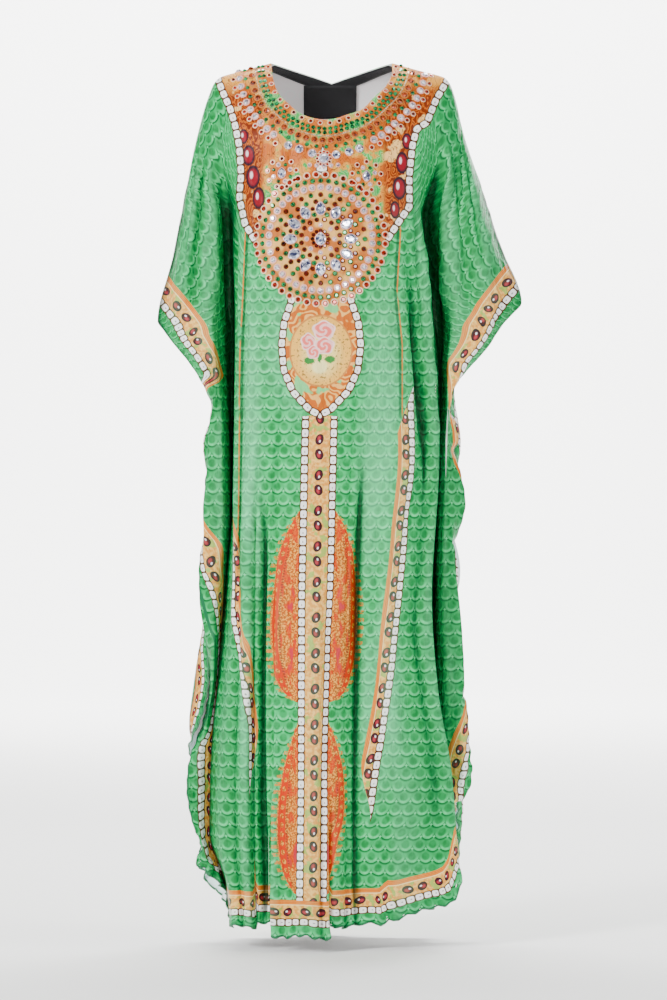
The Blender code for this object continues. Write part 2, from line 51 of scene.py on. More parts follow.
# The shoulder and arm line, where front and back are joined: drop, x
armLine = {
    "left": ((0, -94), (10, -130), (25, -178), (50, -191), (100, -206), (200, -227), (300, -247),
             (405, -271)),
    "right": ((0, 96), (10, 131), (25, 181), (50, 193), (100, 205), (200, 237), (300, 270), (376, 299)),
}

# Free edge of the front below the sleeve's tip, a row for each turn of the cascade: drop, x, y
frontEdge = {
    "left": (
        (422, -260, -20), (466, -224, -42), (500, -203, -50), (530, -189, -48), (552, -183, -30),
        (575, -179, -14), (650, -176, -12), (700, -182, -16), (735, -196, -32), (797, -206, -46),
        (850, -204, -50), (890, -198, -45), (925, -192, -34), (970, -189, -22), (1030, -198, -14),
        (1070, -212, -20), (1100, -222, -34), (1136, -225, -42), (1180, -219, -42), (1212, -209, -36),
        (1230, -203, -26), (1250, -214, -20), (1262, -216, -20),
    ),
    "right": (
        (392, 286, -16), (416, 266, -30), (444, 249, -40), (470, 227, -48), (502, 198, -52),
        (523, 187, -42), (542, 182, -20), (573, 199, -18), (592, 199, -20), (608, 191, -20),
        (640, 201, -30), (691, 209, -34), (735, 199, -24), (769, 184, -14), (850, 180, -12),
        (950, 188, -14), (985, 204, -26), (1010, 213, -36), (1060, 215, -42), (1118, 219, -44),
        (1146, 212, -40), (1165, 195, -26), (1265, 186, -22),
    ),
}

# Free edge of the back; on the left it wraps forward between 900 and 1060
backEdge = {
    "left": (
        (425, -256, 20), (466, -222, 42), (505, -198, 52), (545, -184, 36), (600, -190, 30),
        (680, -200, 44), (760, -192, 52), (830, -186, 34), (880, -192, 10), (915, -195, -14),
        (965, -192, -36), (1005, -197, -40), (1035, -206, -38), (1060, -217, -28), (1078, -223, -6),
        (1110, -212, 24), (1180, -200, 46), (1262, -208, 34),
    ),
    "right": (
        (395, 282, 16), (430, 256, 38), (480, 214, 52), (520, 188, 44), (570, 186, 26),
        (640, 200, 38), (710, 196, 54), (780, 186, 40), (850, 190, 26), (930, 202, 44),
        (1010, 196, 56), (1090, 188, 36), (1160, 196, 28), (1265, 200, 46),
    ),
}

# Centre line: drop, x, y
frontCentre = (
    (0, 1, -6), (10, 0, -30), (25, -3, -48), (50, -7, -68), (98, -10, -92), (150, -13, -108),
    (250, -16, -119), (400, -15, -124), (700, -20, -120), (1000, -25, -124), (1362, -28, -131),
)
backCentre = (
    (0, 1, 6), (10, 1, 32), (26, 1, 51), (60, 0, 74), (120, 0, 95), (220, 0, 104),
    (450, -4, 96), (750, -8, 94), (1050, -10, 104), (1362, -12, 122),
)

# Inner guide lines of each half: drop, x, y. The top rows only matter below the shoulder blend.
frontLines = {
    "left": {
        "valley": ((90, -62, -84), (260, -76, -114), (500, -90, -116), (700, -104, -104), (950, -108, -92),
                   (1150, -107, -88), (1362, -104, -94)),
        "roll": ((90, -118, -72), (260, -137, -76), (400, -144, -74), (700, -150, -70), (850, -154, -72),
                 (1000, -162, -72), (1150, -170, -70), (1220, -170, -70), (1300, -156, -78),
                  (1362, -151, -86)),
        "stitch": ((90, -150, -50), (180, -157, -34), (270, -160, -9), (400, -156, -2), (700, -157, -2),
                   (800, -163, -3), (890, -172, -5), (965, -178, -8), (1030, -184, -14), (1150, -190, -20),
                   (1210, -191, -18), (1290, -166, -6), (1362, -160, -2)),
        "wing": ((90, -168, -38), (180, -180, -42), (270, -186, -46), (400, -188, -54), (470, -182, -60),
                 (530, -172, -56), (700, -170, -52), (800, -172, -50), (890, -178, -40), (965, -182, -30),
                 (1030, -190, -26), (1130, -196, -26), (1210, -196, -24), (1290, -176, -28)),
        "fold": ((90, -186, -26), (180, -205, -40), (270, -220, -45), (350, -233, -45), (405, -238, -44),
                 (466, -207, -60), (530, -186, -64), (575, -191, -46), (650, -194, -44), (700, -199, -46),
                 (750, -197, -52), (810, -188, -60), (890, -184, -54), (970, -186, -39), (1040, -196, -32),
                 (1100, -209, -38), (1180, -208, -40), (1262, -192, -34)),
    },
    "right": {
        "valley": ((90, 60, -84), (260, 66, -114), (500, 60, -116), (700, 46, -106), (950, 40, -94),
                   (1150, 38, -90), (1362, 40, -96)),
        "roll": ((90, 118, -72), (270, 134, -84), (400, 148, -78), (530, 162, -66), (620, 168, -66),
                 (844, 153, -84), (975, 164, -86), (1108, 187, -82), (1200, 195, -76), (1300, 204, -68)),
        "stitch": ((90, 150, -50), (180, 150, -34), (270, 152, -10), (400, 166, -2), (530, 170, -2),
                   (844, 162, -2), (1100, 164, -2), (1300, 164, -2)),
        "wing": ((90, 170, -38), (180, 186, -42), (270, 196, -48), (400, 200, -56), (480, 186, -60),
                 (620, 179, -56), (844, 176, -40), (1000, 184, -44), (1120, 182, -42), (1290, 174, -34)),
        "fold": ((90, 187, -26), (180, 212, -42), (270, 236, -46), (340, 254, -46), (376, 262, -42),
                 (440, 230, -60), (502, 194, -64), (560, 184, -48), (620, 184, -46), (690, 186, -52),
                 (769, 191, -40), (822, 197, -38), (910, 205, -38), (975, 210, -42), (1020, 202, -52),
                 (1110, 206, -58), (1160, 190, -46), (1290, 184, -34)),
    },
}
backLines = {
    "left": {
        "valley": ((90, -66, 78), (260, -72, 92), (600, -70, 78), (1000, -76, 76), (1362, -84, 92)),
        "roll": ((90, -124, 58), (260, -138, 64), (600, -142, 66), (1000, -146, 72), (1362, -152, 84)),
        "stitch": ((90, -150, 48), (180, -157, 32), (270, -160, 9), (400, -156, 2), (700, -157, 2),
                   (1000, -160, 2), (1362, -160, 2)),
        "wing": ((90, -170, 36), (270, -188, 46), (400, -190, 54), (530, -174, 54), (900, -178, 46),
                 (1290, -176, 44)),
        "fold": ((90, -187, 25), (180, -205, 40), (270, -221, 45), (405, -238, 42), (466, -204, 60),
                 (530, -184, 64), (600, -202, 46), (690, -190, 66), (800, -206, 56), (880, -204, 26),
                 (930, -209, 4), (980, -215, -8), (1040, -221, -12), (1078, -214, 12), (1140, -198, 48),
                 (1262, -196, 56)),
    },
    "right": {
        "valley": ((90, 66, 78), (260, 74, 92), (600, 80, 80), (1000, 70, 78), (1362, 66, 96)),
        "roll": ((90, 124, 58), (260, 138, 64), (600, 146, 66), (1000, 150, 74), (1362, 160, 84)),
        "stitch": ((90, 150, 48), (180, 150, 32), (270, 152, 10), (400, 166, 2), (530, 170, 2),
                   (844, 162, 2), (1100, 164, 2), (1362, 164, 2)),
        "wing": ((90, 172, 36), (270, 200, 46), (400, 202, 54), (530, 182, 54), (900, 180, 52),
                 (1290, 178, 50)),
        "fold": ((90, 188, 25), (180, 212, 40), (270, 238, 45), (376, 262, 42), (440, 228, 60),
                 (510, 194, 64), (600, 204, 48), (700, 186, 68), (800, 206, 56), (880, 196, 44),
                 (960, 210, 64), (1060, 190, 60), (1160, 206, 48), (1290, 198, 60)),
    },
}

# Neck opening: drop, x on each side of the centre line
frontNeck = {
    "left": ((0, -94), (25, -91), (51, -83), (73, -64), (89, -44), (95, -28), (98, -10)),
    "right": ((0, 96), (15, 96), (41, 86), (60, 67), (81, 47), (90, 23), (96, 5), (98, -10)),
}
backNeck = {
    "left": ((0, -94), (6, -70), (17, -28), (26, 1)),
    "right": ((0, 96), (6, 70), (17, 30), (26, 1)),
}

# Hem: across, drop
frontHem = {
    "left": ((0, 1361), (0.21, 1361), (0.23, 1343), (0.295, 1341), (0.315, 1350), (0.47, 1350), (0.55, 1349),
             (0.585, 1306), (0.69, 1288), (0.84, 1273), (1, 1248)),
    "right": ((0, 1361), (0.115, 1362), (0.135, 1347), (0.31, 1346), (0.33, 1337), (0.42, 1313), (0.47, 1284),
              (0.58, 1288), (0.84, 1276), (1, 1262)),
}
backHem = {
    "left": ((0, 1362), (0.12, 1361), (0.26, 1352), (0.47, 1340), (0.58, 1326), (0.84, 1292), (1, 1262)),
    "right": ((0, 1362), (0.12, 1361), (0.26, 1352), (0.47, 1336), (0.58, 1322), (0.84, 1290), (1, 1262)),
}

# Largest folds, a row each: side, drop and across at the top, the same at the foot, half width across, depth
# inwards (a minus is a ridge)
foldColumns = ("side", "top", "topAcross", "foot", "footAcross", "halfWidth", "depth")
frontFolds = (
    ("left", 270, 0.445, 900, 0.43, 0.030, 9),
    ("left", 560, 0.365, 1400, 0.345, 0.045, -7),
    ("left", 700, 0.10, 1400, 0.13, 0.060, 5),
    ("left", 620, 0.26, 1400, 0.26, 0.036, 8),
    ("left", 130, 0.80, 400, 0.76, 0.055, 10),
    ("right", 230, 0.40, 900, 0.435, 0.030, 10),
    ("right", 190, 0.50, 900, 0.385, 0.026, -6),
    ("right", 560, 0.345, 1400, 0.36, 0.045, -7),
    ("right", 760, 0.10, 1400, 0.08, 0.055, 5),
    ("right", 560, 0.26, 1400, 0.26, 0.036, 8),
    ("right", 130, 0.76, 400, 0.73, 0.050, 9),
    ("right", 300, 0.86, 420, 0.90, 0.050, 6),
)
backFolds = (
    ("left", 150, 0.10, 1400, 0.13, 0.070, 9),
    ("left", 350, 0.36, 1400, 0.37, 0.050, -10),
    ("left", 130, 0.76, 420, 0.75, 0.060, 9),
    ("right", 180, 0.12, 1400, 0.10, 0.070, 8),
    ("right", 400, 0.37, 1400, 0.36, 0.050, -10),
    ("right", 130, 0.77, 420, 0.74, 0.060, 9),
)

# Finer creases of the dressed cloth, in the same columns
frontCreases = (
    ("left", 240, 0.52, 560, 0.47, 0.022, 8),
    ("left", 330, 0.41, 880, 0.395, 0.022, 6),
    ("left", 430, 0.20, 1400, 0.215, 0.026, 4),
    ("left", 640, 0.26, 1400, 0.26, 0.030, 9),
    ("left", 700, 0.17, 1400, 0.205, 0.022, -4),
    ("left", 460, 0.33, 1400, 0.315, 0.030, -6),
    ("left", 800, 0.05, 1400, 0.045, 0.024, 3),
    ("left", 130, 0.70, 380, 0.66, 0.024, -7),
    ("left", 110, 0.88, 360, 0.86, 0.026, 6),
    ("left", 180, 0.62, 420, 0.60, 0.020, 8),
    ("left", 270, 0.455, 900, 0.445, 0.020, 5),
    ("left", 1150, 0.222, 1500, 0.222, 0.016, 11),
    ("left", 1080, 0.19, 1500, 0.19, 0.032, -7),
    ("left", 620, 0.31, 1480, 0.305, 0.016, 9),
    ("left", 620, 0.345, 1480, 0.335, 0.030, -5),
    ("left", 900, 0.40, 1480, 0.385, 0.020, 5),
    ("left", 130, 0.93, 300, 0.94, 0.020, -3),
    ("right", 190, 0.47, 620, 0.42, 0.016, 8),
    ("right", 210, 0.53, 560, 0.46, 0.015, 8),
    ("right", 250, 0.44, 760, 0.372, 0.014, 7),
    ("right", 230, 0.50, 640, 0.435, 0.010, -5),
    ("right", 420, 0.20, 1400, 0.215, 0.026, 4),
    ("right", 560, 0.26, 1400, 0.26, 0.030, 8),
    ("right", 620, 0.34, 1400, 0.33, 0.026, -6),
    ("right", 780, 0.05, 1400, 0.06, 0.024, 3),
    ("right", 1150, 0.126, 1500, 0.126, 0.016, 11),
    ("right", 1080, 0.095, 1500, 0.095, 0.032, -7),
    ("right", 640, 0.235, 1480, 0.225, 0.020, 8),
    ("right", 1000, 0.33, 1480, 0.325, 0.016, 6),
    ("right", 110, 0.66, 400, 0.64, 0.024, -10),
    ("right", 120, 0.705, 380, 0.70, 0.018, 9),
    ("right", 110, 0.745, 330, 0.75, 0.018, -6),
    ("right", 110, 0.84, 340, 0.80, 0.022, 6),
    ("right", 150, 0.59, 440, 0.555, 0.018, 11),
    ("right", 330, 0.41, 1250, 0.405, 0.020, 9),
)
backCreases = (
    ("left", 300, 0.22, 1400, 0.25, 0.030, 6),
    ("left", 420, 0.46, 1100, 0.45, 0.024, 7),
    ("left", 150, 0.66, 400, 0.63, 0.024, 6),
    ("left", 700, 0.05, 1400, 0.04, 0.026, -4),
    ("right", 320, 0.23, 1400, 0.21, 0.030, 6),
    ("right", 440, 0.45, 1200, 0.46, 0.024, 7),
    ("right", 150, 0.64, 400, 0.62, 0.024, 6),
    ("right", 620, 0.05, 1400, 0.06, 0.026, 4),
)


def slopesBetween(steps, rises):
    # Slopes of a monotone cubic, so that a line never swings past the rows of its table
    before, after = rises[:-1], rises[1:]
    heavy, light = 2 * steps[1:] + steps[:-1], steps[1:] + 2 * steps[:-1]
    sameWay = before * after > 0
    before, after = np.where(sameWay, before, 1.0), np.where(sameWay, after, 1.0)
    mean = (heavy + light) / (heavy / before + light / after)
    return np.concatenate([rises[:1], np.where(sameWay, mean, 0.0), rises[-1:]])


def cubic(t, step, low, high, slopeLow, slopeHigh):
    return ((1 + 2 * t) * (1 - t) ** 2 * low + t * (1 - t) ** 2 * step * slopeLow
            + t * t * (3 - 2 * t) * high + t * t * (t - 1) * step * slopeHigh)


def tableColumn(table, column, at):
    places = np.array([row[0] for row in table], float)
    values = np.array([row[column] for row in table], float)
    steps = np.diff(places)
    slopes = slopesBetween(steps, np.diff(values) / steps)
    at = np.clip(np.asarray(at, float), places[0], places[-1])
    k = np.clip(np.searchsorted(places, at, side="right") - 1, 0, len(steps) - 1)
    t = (at - places[k]) / steps[k]
    return cubic(t, steps[k], values[k], values[k + 1], slopes[k], slopes[k + 1])


def acrossLine(values, across, levelCentre):
    places = np.array(list(stations.values()))
    values = np.stack(values)
    steps = np.diff(places)[:, None]
    slopes = slopesBetween(steps, np.diff(values, axis=0) / steps)
    if levelCentre:
        slopes[0] = 0.0
    k = np.clip(np.searchsorted(places, across, side="right") - 1, 0, len(steps) - 1)
    place = np.arange(len(across))
    t = (across - places[k]) / steps[k, 0]
    return cubic(t, steps[k, 0], values[k, place], values[k + 1, place], slopes[k, place],
                 slopes[k + 1, place])


def smoothStep(low, high, at):
    t = np.clip((np.asarray(at, float) - low) / (high - low), 0.0, 1.0)
    return t * t * (3 - 2 * t)


def unit(vectors):
    return vectors / np.maximum(np.linalg.norm(vectors, axis=-1, keepdims=True), 1e-9)


def rimOf(index):
    # The outermost places of a grid, in order
    return np.concatenate([index[0, :], index[1:, -1], index[-1, -2::-1], index[-2:0:-1, 0]])


def newObject(name, data):
    item = bpy.data.objects.new(name, data)
    bpy.context.scene.collection.objects.link(item)
    return item


clothValues = {
    "rows": 255,
    "columnRuns": ((0.09, 7), (0.145, 8), (0.19, 4), (0.24, 8), (0.29, 5), (0.34, 7), (0.47, 11), (0.58, 13),
                   (0.69, 9), (0.84, 9), (1.0, 11)),
    "thickness": 1.2,
    "shoulderBlend": (90.0, 250.0),
    "seamGap": 0.3,
    "stitchedAcross": 0.75,
    "ruffleLength": 25.0,
    "ruffleHeight": 3.6,
    "ruffleReach": 16.0,
    "sideWaves": (1040.0, 1160.0),
    "softHeight": 4.2,
    "sleeveTurn": 50.0,
    "armLean": 0.75,
    "cuffRows": 14,
    "cuffBlend": 45.0,
    "shadeReach": 12,
    "shadeDepth": 11.0,
    "shineHeight": 8.0,
}


class Cloth:
    # One of the two great pieces, as a function of across (-1 to 1) and drop
    def __init__(self, facing, centre, lines, edge, neck, hem, folds):
        self.facing = facing
        self.centre = centre
        self.lines = lines
        self.edge = edge
        self.neck = neck
        self.hem = hem
        self.folds = [dict(zip(foldColumns, row)) for row in folds]
        self.near = facing * clothValues["seamGap"] / 2
        self.makeFlat()

    def edgeTable(self, side):
        return tuple((drop, x, self.near) for drop, x in armLine[side]) + self.edge[side]

    def halfSection(self, side, across, drop):
        tables = {**self.lines[side], "centre": self.centre, "edge": self.edgeTable(side)}
        acrossX = [tableColumn(tables[name], 1, drop) for name in stations]
        acrossY = [tableColumn(tables[name], 2, drop) for name in stations]
        x = acrossLine(acrossX, across, False)
        y = acrossLine(acrossY, across, True)
        angle = across * math.pi / 2
        roundX = acrossX[0] + (acrossX[-1] - acrossX[0]) * np.sin(angle)
        roundY = acrossY[0] * np.cos(angle) + self.near * (1 - np.cos(angle))
        worn = smoothStep(*clothValues["shoulderBlend"], drop)
        return roundX + (x - roundX) * worn, roundY + (y - roundY) * worn

    def foldDepth(self, side, across, drop):
        depth = np.zeros(np.shape(drop))
        for fold in self.folds:
            if fold["side"] != side:
                continue
            length = fold["foot"] - fold["top"]
            along = (drop - fold["top"]) / length
            middle = fold["topAcross"] + (fold["footAcross"] - fold["topAcross"]) * np.clip(along, 0.0, 1.0)
            aside = np.clip(np.abs(across - middle) / fold["halfWidth"], 0.0, 1.0)
            fade = smoothStep(0.0, 0.22, along) * (1 - smoothStep(0.85, 1.0, along))
            depth = depth + fold["depth"] * (0.5 + 0.5 * np.cos(math.pi * aside)) * fade
        return depth

    def points(self, across, drop):
        across, drop = np.broadcast_arrays(np.asarray(across, float), np.asarray(drop, float))
        result = np.zeros(across.shape + (3,))
        for side, mask in (("left", across < 0), ("right", across >= 0)):
            if not mask.any():
                continue
            a, d = np.abs(across[mask]), drop[mask]
            x, y = self.halfSection(side, a, d)
            nudge = 0.004
            nextX, nextY = self.halfSection(side, np.minimum(a + nudge, 1.0), d)
            lastX, lastY = self.halfSection(side, np.maximum(a - nudge, 0.0), d)
            runX, runY = nextX - lastX, nextY - lastY
            run = np.maximum(np.hypot(runX, runY), 1e-6)
            turn = self.facing if side == "right" else -self.facing
            depth = self.foldDepth(side, a, d)
            x = x + turn * runY / run * depth
            y = y - turn * runX / run * depth
            crosses = (a < clothValues["stitchedAcross"]) & (y * self.facing < abs(self.near))
            y = np.where(crosses, self.near, y)
            result[mask] = np.stack([x, y, -d], axis=-1)
        return result

    def neckDrops(self, columns):
        low = np.zeros(len(columns))
        high = np.array([self.neck["left" if a < 0 else "right"][-1][0] for a in columns], float)
        for _ in range(30):
            middle = (low + high) / 2
            centreX = tableColumn(self.centre, 1, middle)
            hole = np.where(columns < 0, tableColumn(self.neck["left"], 1, middle),
                            tableColumn(self.neck["right"], 1, middle))
            inside = np.abs(self.points(columns, middle)[:, 0] - centreX) < np.abs(hole - centreX)
            low, high = np.where(inside, middle, low), np.where(inside, high, middle)
        return np.where(np.abs(columns) >= 1, 0.0, (low + high) / 2)

    def hemDrops(self, columns):
        return np.where(columns < 0, tableColumn(self.hem["left"], 1, np.abs(columns)),
                        tableColumn(self.hem["right"], 1, np.abs(columns)))

    def edgeShare(self, side, rowCount):
        foot = self.hem[side][-1][1]
        drops = np.linspace(0.0, foot, 600)
        table = self.edgeTable(side)
        path = np.stack([tableColumn(table, 1, drops), tableColumn(table, 2, drops), drops], axis=-1)
        walked = np.concatenate([[0.0], np.cumsum(np.linalg.norm(np.diff(path, axis=0), axis=1))])
        return np.interp(np.linspace(0.0, walked[-1], rowCount + 1), walked, drops) / foot

    def makeFlat(self):
        # How far each place is from the centre line round the cloth, and down it, kept as a table
        self.flatAcross = np.linspace(-1.0, 1.0, 401)
        self.flatDrop = np.linspace(0.0, 1380.0, 277)
        places = self.points(self.flatAcross[None, :], self.flatDrop[:, None])
        steps = np.hypot(*np.moveaxis(np.diff(places[..., :2], axis=1), -1, 0))
        walked = np.concatenate([np.zeros((len(steps), 1)), np.cumsum(steps, axis=1)], axis=1)
        self.flatU = walked - walked[:, 200:201]
        down = np.hypot(*np.moveaxis(np.diff(places[..., 1:], axis=0), -1, 0))
        walked = np.concatenate([np.zeros((1, down.shape[1])), np.cumsum(down, axis=0)], axis=0)
        level = 250.0
        row = np.searchsorted(self.flatDrop, level)
        above = self.flatDrop[row] + walked - walked[row]
        self.flatV = np.where(self.flatDrop[:, None] < level, above, self.flatDrop[:, None])

    def flatPlaces(self, across, drop):
        lastRow, lastColumn = len(self.flatDrop) - 1.001, len(self.flatAcross) - 1.001
        i = np.clip((drop - self.flatDrop[0]) / (self.flatDrop[1] - self.flatDrop[0]), 0, lastRow)
        j = np.clip((across + 1) / (self.flatAcross[1] - self.flatAcross[0]), 0, lastColumn)
        low, left = i.astype(int), j.astype(int)
        s, t = i - low, j - left
        found = []
        for table in (self.flatU, self.flatV):
            found.append(table[low, left] * (1 - s) * (1 - t) + table[low + 1, left] * s * (1 - t)
                         + table[low, left + 1] * (1 - s) * t + table[low + 1, left + 1] * s * t)
        return found

    def makeGrid(self):
        half = [0.0]
        for high, count in clothValues["columnRuns"]:
            low = half[-1]
            half += [low + (high - low) * k / count for k in range(1, count + 1)]
        columns = np.array([-a for a in reversed(half[1:])] + half)
        rowCount = clothValues["rows"]
        shares = {side: self.edgeShare(side, rowCount) for side in ("left", "right")}
        tops, feet = self.neckDrops(columns), self.hemDrops(columns)
        pull = np.abs(columns) ** 2 * (3 - 2 * np.abs(columns))
        edges = np.stack([shares["left" if a < 0 else "right"] for a in columns], axis=1)
        share = np.linspace(0.0, 1.0, rowCount + 1)[:, None]
        self.columns = columns
        self.drops = tops + (feet - tops) * (share * (1 - pull) + edges * pull)
        self.across = np.broadcast_to(columns, self.drops.shape)
        self.grid = self.points(self.across, self.drops)
        self.u, self.v = self.flatPlaces(self.across, self.drops)
        self.edgePlaces()
        self.ruffle()

    def normals(self, grid):
        normal = np.cross(np.gradient(grid, axis=1), np.gradient(grid, axis=0)) * self.facing
        return unit(normal)

    def edgePlaces(self):
        # For each place: how far along and how far in from the side edges and from the hem
        grid = self.grid
        rowCount, columnCount = self.drops.shape
        middle = columnCount // 2
        rowSteps = np.linalg.norm(np.diff(grid, axis=1), axis=2)
        walked = np.concatenate([np.zeros((rowCount, 1)), np.cumsum(rowSteps, axis=1)], axis=1)
        self.sideAlong = np.zeros(self.drops.shape)
        self.sideIn = np.zeros(self.drops.shape)
        for side, column in (("left", 0), ("right", columnCount - 1)):
            tip = armLine[side][-1][0]
            edge = grid[:, column]
            run = unit(np.gradient(edge, axis=0))
            inward = unit(grid[:, column + (3 if column == 0 else -3)] - edge)
            lean = np.sum(run * inward, axis=1)
            tipRow = int(np.searchsorted(self.drops[:, column], tip))
            lean[:tipRow + 4] = lean[tipRow + 4]
            window = np.ones(9) / 9
            padded = np.concatenate([np.full(4, lean[0]), lean, np.full(4, lean[-1])])
            lean = np.clip(np.convolve(padded, window, mode="valid"), -0.8, 0.8)
            length = np.concatenate([[0.0], np.cumsum(np.linalg.norm(np.diff(edge, axis=0), axis=1))])
            gap = np.maximum(tip - self.drops[:, column], 0.0) * clothValues["armLean"]
            distance = walked if column == 0 else walked[:, -1:] - walked
            distance = distance + gap[:, None]
            mask = slice(0, middle + 1) if column == 0 else slice(middle, columnCount)
            self.sideIn[:, mask] = (distance * np.sqrt(1 - lean[:, None] ** 2))[:, mask]
            self.sideAlong[:, mask] = (length[:, None] + distance * lean[:, None])[:, mask]
            far = tipRow + clothValues["cuffRows"]
            self.straightCuff(mask, edge[tipRow], edge[far], tip, length[tipRow])
        hem = grid[-1]
        length = np.concatenate([[0.0], np.cumsum(np.linalg.norm(np.diff(hem, axis=0), axis=1))])
        run = unit(np.gradient(hem, axis=0))
        upward = unit(grid[-4] - hem)
        lean = np.clip(np.sum(run * upward, axis=1), -0.8, 0.8)
        downSteps = np.linalg.norm(np.diff(grid, axis=0), axis=2)
        below = np.cumsum(downSteps[::-1], axis=0)[::-1]
        below = np.concatenate([below, np.zeros((1, columnCount))], axis=0)
        self.hemIn = below * np.sqrt(1 - lean ** 2)
        self.hemAlong = length - length[middle] + below * lean

    def straightCuff(self, mask, start, end, tip, startAlong):
        # Above the sleeve's tip the border runs on in line with the cuff, and the arm line cuts it off
        run = (end - start)[[0, 2]]
        run = run / np.linalg.norm(run)
        place = self.grid[:, mask][..., [0, 2]] - start[[0, 2]]
        away = np.abs(place[..., 0] * run[1] - place[..., 1] * run[0])
        along = place[..., 0] * run[0] + place[..., 1] * run[1] + startAlong
        share = 1 - smoothStep(tip, tip + clothValues["cuffBlend"], self.drops[:, mask])
        self.sideIn[:, mask] += (away - self.sideIn[:, mask]) * share
        self.sideAlong[:, mask] += (along - self.sideAlong[:, mask]) * share

    def ruffle(self):
        values = clothValues
        normal = self.normals(self.grid)
        wave = np.zeros(self.drops.shape)
        calm = 0.25 + 0.75 * smoothStep(*values["sideWaves"], self.drops)
        for along, inside, share in ((self.sideAlong, self.sideIn, 0.8 * calm),
                                     (self.hemAlong, self.hemIn, 1.0)):
            swell = np.sin(along / 83.0) * 0.3 + 1.0
            phase = 2 * math.pi * along / values["ruffleLength"] + 1.1 * np.sin(along / 57.0)
            wave += (np.sin(phase) * swell * values["ruffleHeight"] * share
                     * np.exp(-inside / values["ruffleReach"]))
        below = self.drops > np.where(self.across < 0, armLine["left"][-1][0], armLine["right"][-1][0]) - 4
        wave = np.where(below | (self.hemIn < 80), wave, 0.0)
        wave = wave * (0.15 + 0.85 * smoothStep(430.0, 600.0, self.drops))
        soft = np.array([noise.noise(Vector((u / 46.0, v / 330.0, self.facing * 5.0)))
                         for u, v in zip(self.u.ravel(), self.v.ravel())]).reshape(self.u.shape)
        soft = soft * values["softHeight"] * smoothStep(90.0, 260.0, self.drops)
        down = unit(np.gradient(self.grid, axis=0))
        outwards = unit(np.gradient(self.grid, axis=1)) * np.sign(self.across + 1e-9)[..., None]
        swing = self.hemAlong / values["ruffleLength"] + 0.35 * np.sin(self.hemAlong / 47.0)
        lift = np.exp(-self.hemIn / 9.0) * 2.2 * np.sin(2 * math.pi * swing + 1.3)
        swing = self.hemAlong / 13.0 + 0.9 * np.sin(self.hemAlong / 61.0)
        lift += np.exp(-self.hemIn / 40.0) * 2.6 * np.sin(swing)
        swing = self.sideAlong / values["ruffleLength"] + 0.35 * np.sin(self.sideAlong / 51.0)
        spread = np.exp(-self.sideIn / 9.0) * 1.1 * np.sin(2 * math.pi * swing + 0.7)
        spread = np.where(below, spread, 0.0) * smoothStep(430.0, 600.0, self.drops) * calm
        self.grid = (self.grid + normal * (wave + soft)[..., None] + down * lift[..., None]
                     + outwards * spread[..., None])

    def shade(self):
        # How far each place lies behind the cloth round it, or before it, as shares of the largest folds; it
        # sets the painted shade in the recesses and the painted highlight on the ridges
        outwards = self.grid[..., 1] * self.facing
        reach = clothValues["shadeReach"]
        kernel = np.hanning(2 * reach + 3)[1:-1]
        kernel = kernel / kernel.sum()
        padded = np.pad(outwards, ((0, 0), (reach, reach)), mode="edge")
        smooth = np.stack([np.convolve(row, kernel, mode="valid") for row in padded])
        low = smooth - outwards
        return (np.clip(low / clothValues["shadeDepth"], 0.0, 1.0),
                np.clip(-low / clothValues["shineHeight"], 0.0, 1.0))

    def build(self, name, maps, faceMaterial, reverseMaterial):
        inner = self.grid
        outer = inner + self.normals(inner) * clothValues["thickness"]
        rowCount, columnCount = self.drops.shape
        count = rowCount * columnCount
        index = np.arange(count).reshape(rowCount, columnCount)
        quads = np.stack([index[:-1, :-1], index[1:, :-1], index[1:, 1:], index[:-1, 1:]], axis=-1)
        quads = quads.reshape(-1, 4)
        if self.facing > 0:
            quads = quads[:, ::-1]
        rim = rimOf(index)
        rimQuads = np.stack([rim, np.roll(rim, -1), np.roll(rim, -1) + count, rim + count], axis=-1)
        if self.facing > 0:
            rimQuads = rimQuads[:, ::-1]
        faces = np.concatenate([quads, quads[:, ::-1] + count, rimQuads])
        mesh = bpy.data.meshes.new(name)
        mesh.vertices.add(count * 2)
        places = np.concatenate([outer.reshape(-1, 3), inner.reshape(-1, 3)]) * mm
        mesh.vertices.foreach_set("co", places.ravel())
        mesh.loops.add(len(faces) * 4)
        mesh.loops.foreach_set("vertex_index", faces.ravel().astype(np.int32))
        mesh.polygons.add(len(faces))
        mesh.polygons.foreach_set("loop_start", np.arange(0, len(faces) * 4, 4, dtype=np.int32))
        mesh.polygons.foreach_set("loop_total", np.full(len(faces), 4, dtype=np.int32))
        slots = np.zeros(len(faces), dtype=np.int32)
        slots[len(quads):len(quads) * 2] = 1
        mesh.polygons.foreach_set("material_index", slots)
        mesh.polygons.foreach_set("use_smooth", np.ones(len(faces), dtype=bool))
        for mapName, (across, along) in maps.items():
            layer = mesh.uv_layers.new(name=mapName)
            pair = np.stack([across, along], axis=-1).reshape(-1, 2) * mm
            layer.data.foreach_set("uv", np.concatenate([pair, pair])[faces.ravel()].ravel())
        mesh.update(calc_edges=True)
        mesh.materials.append(faceMaterial)
        mesh.materials.append(reverseMaterial)
        return newObject(name, mesh)


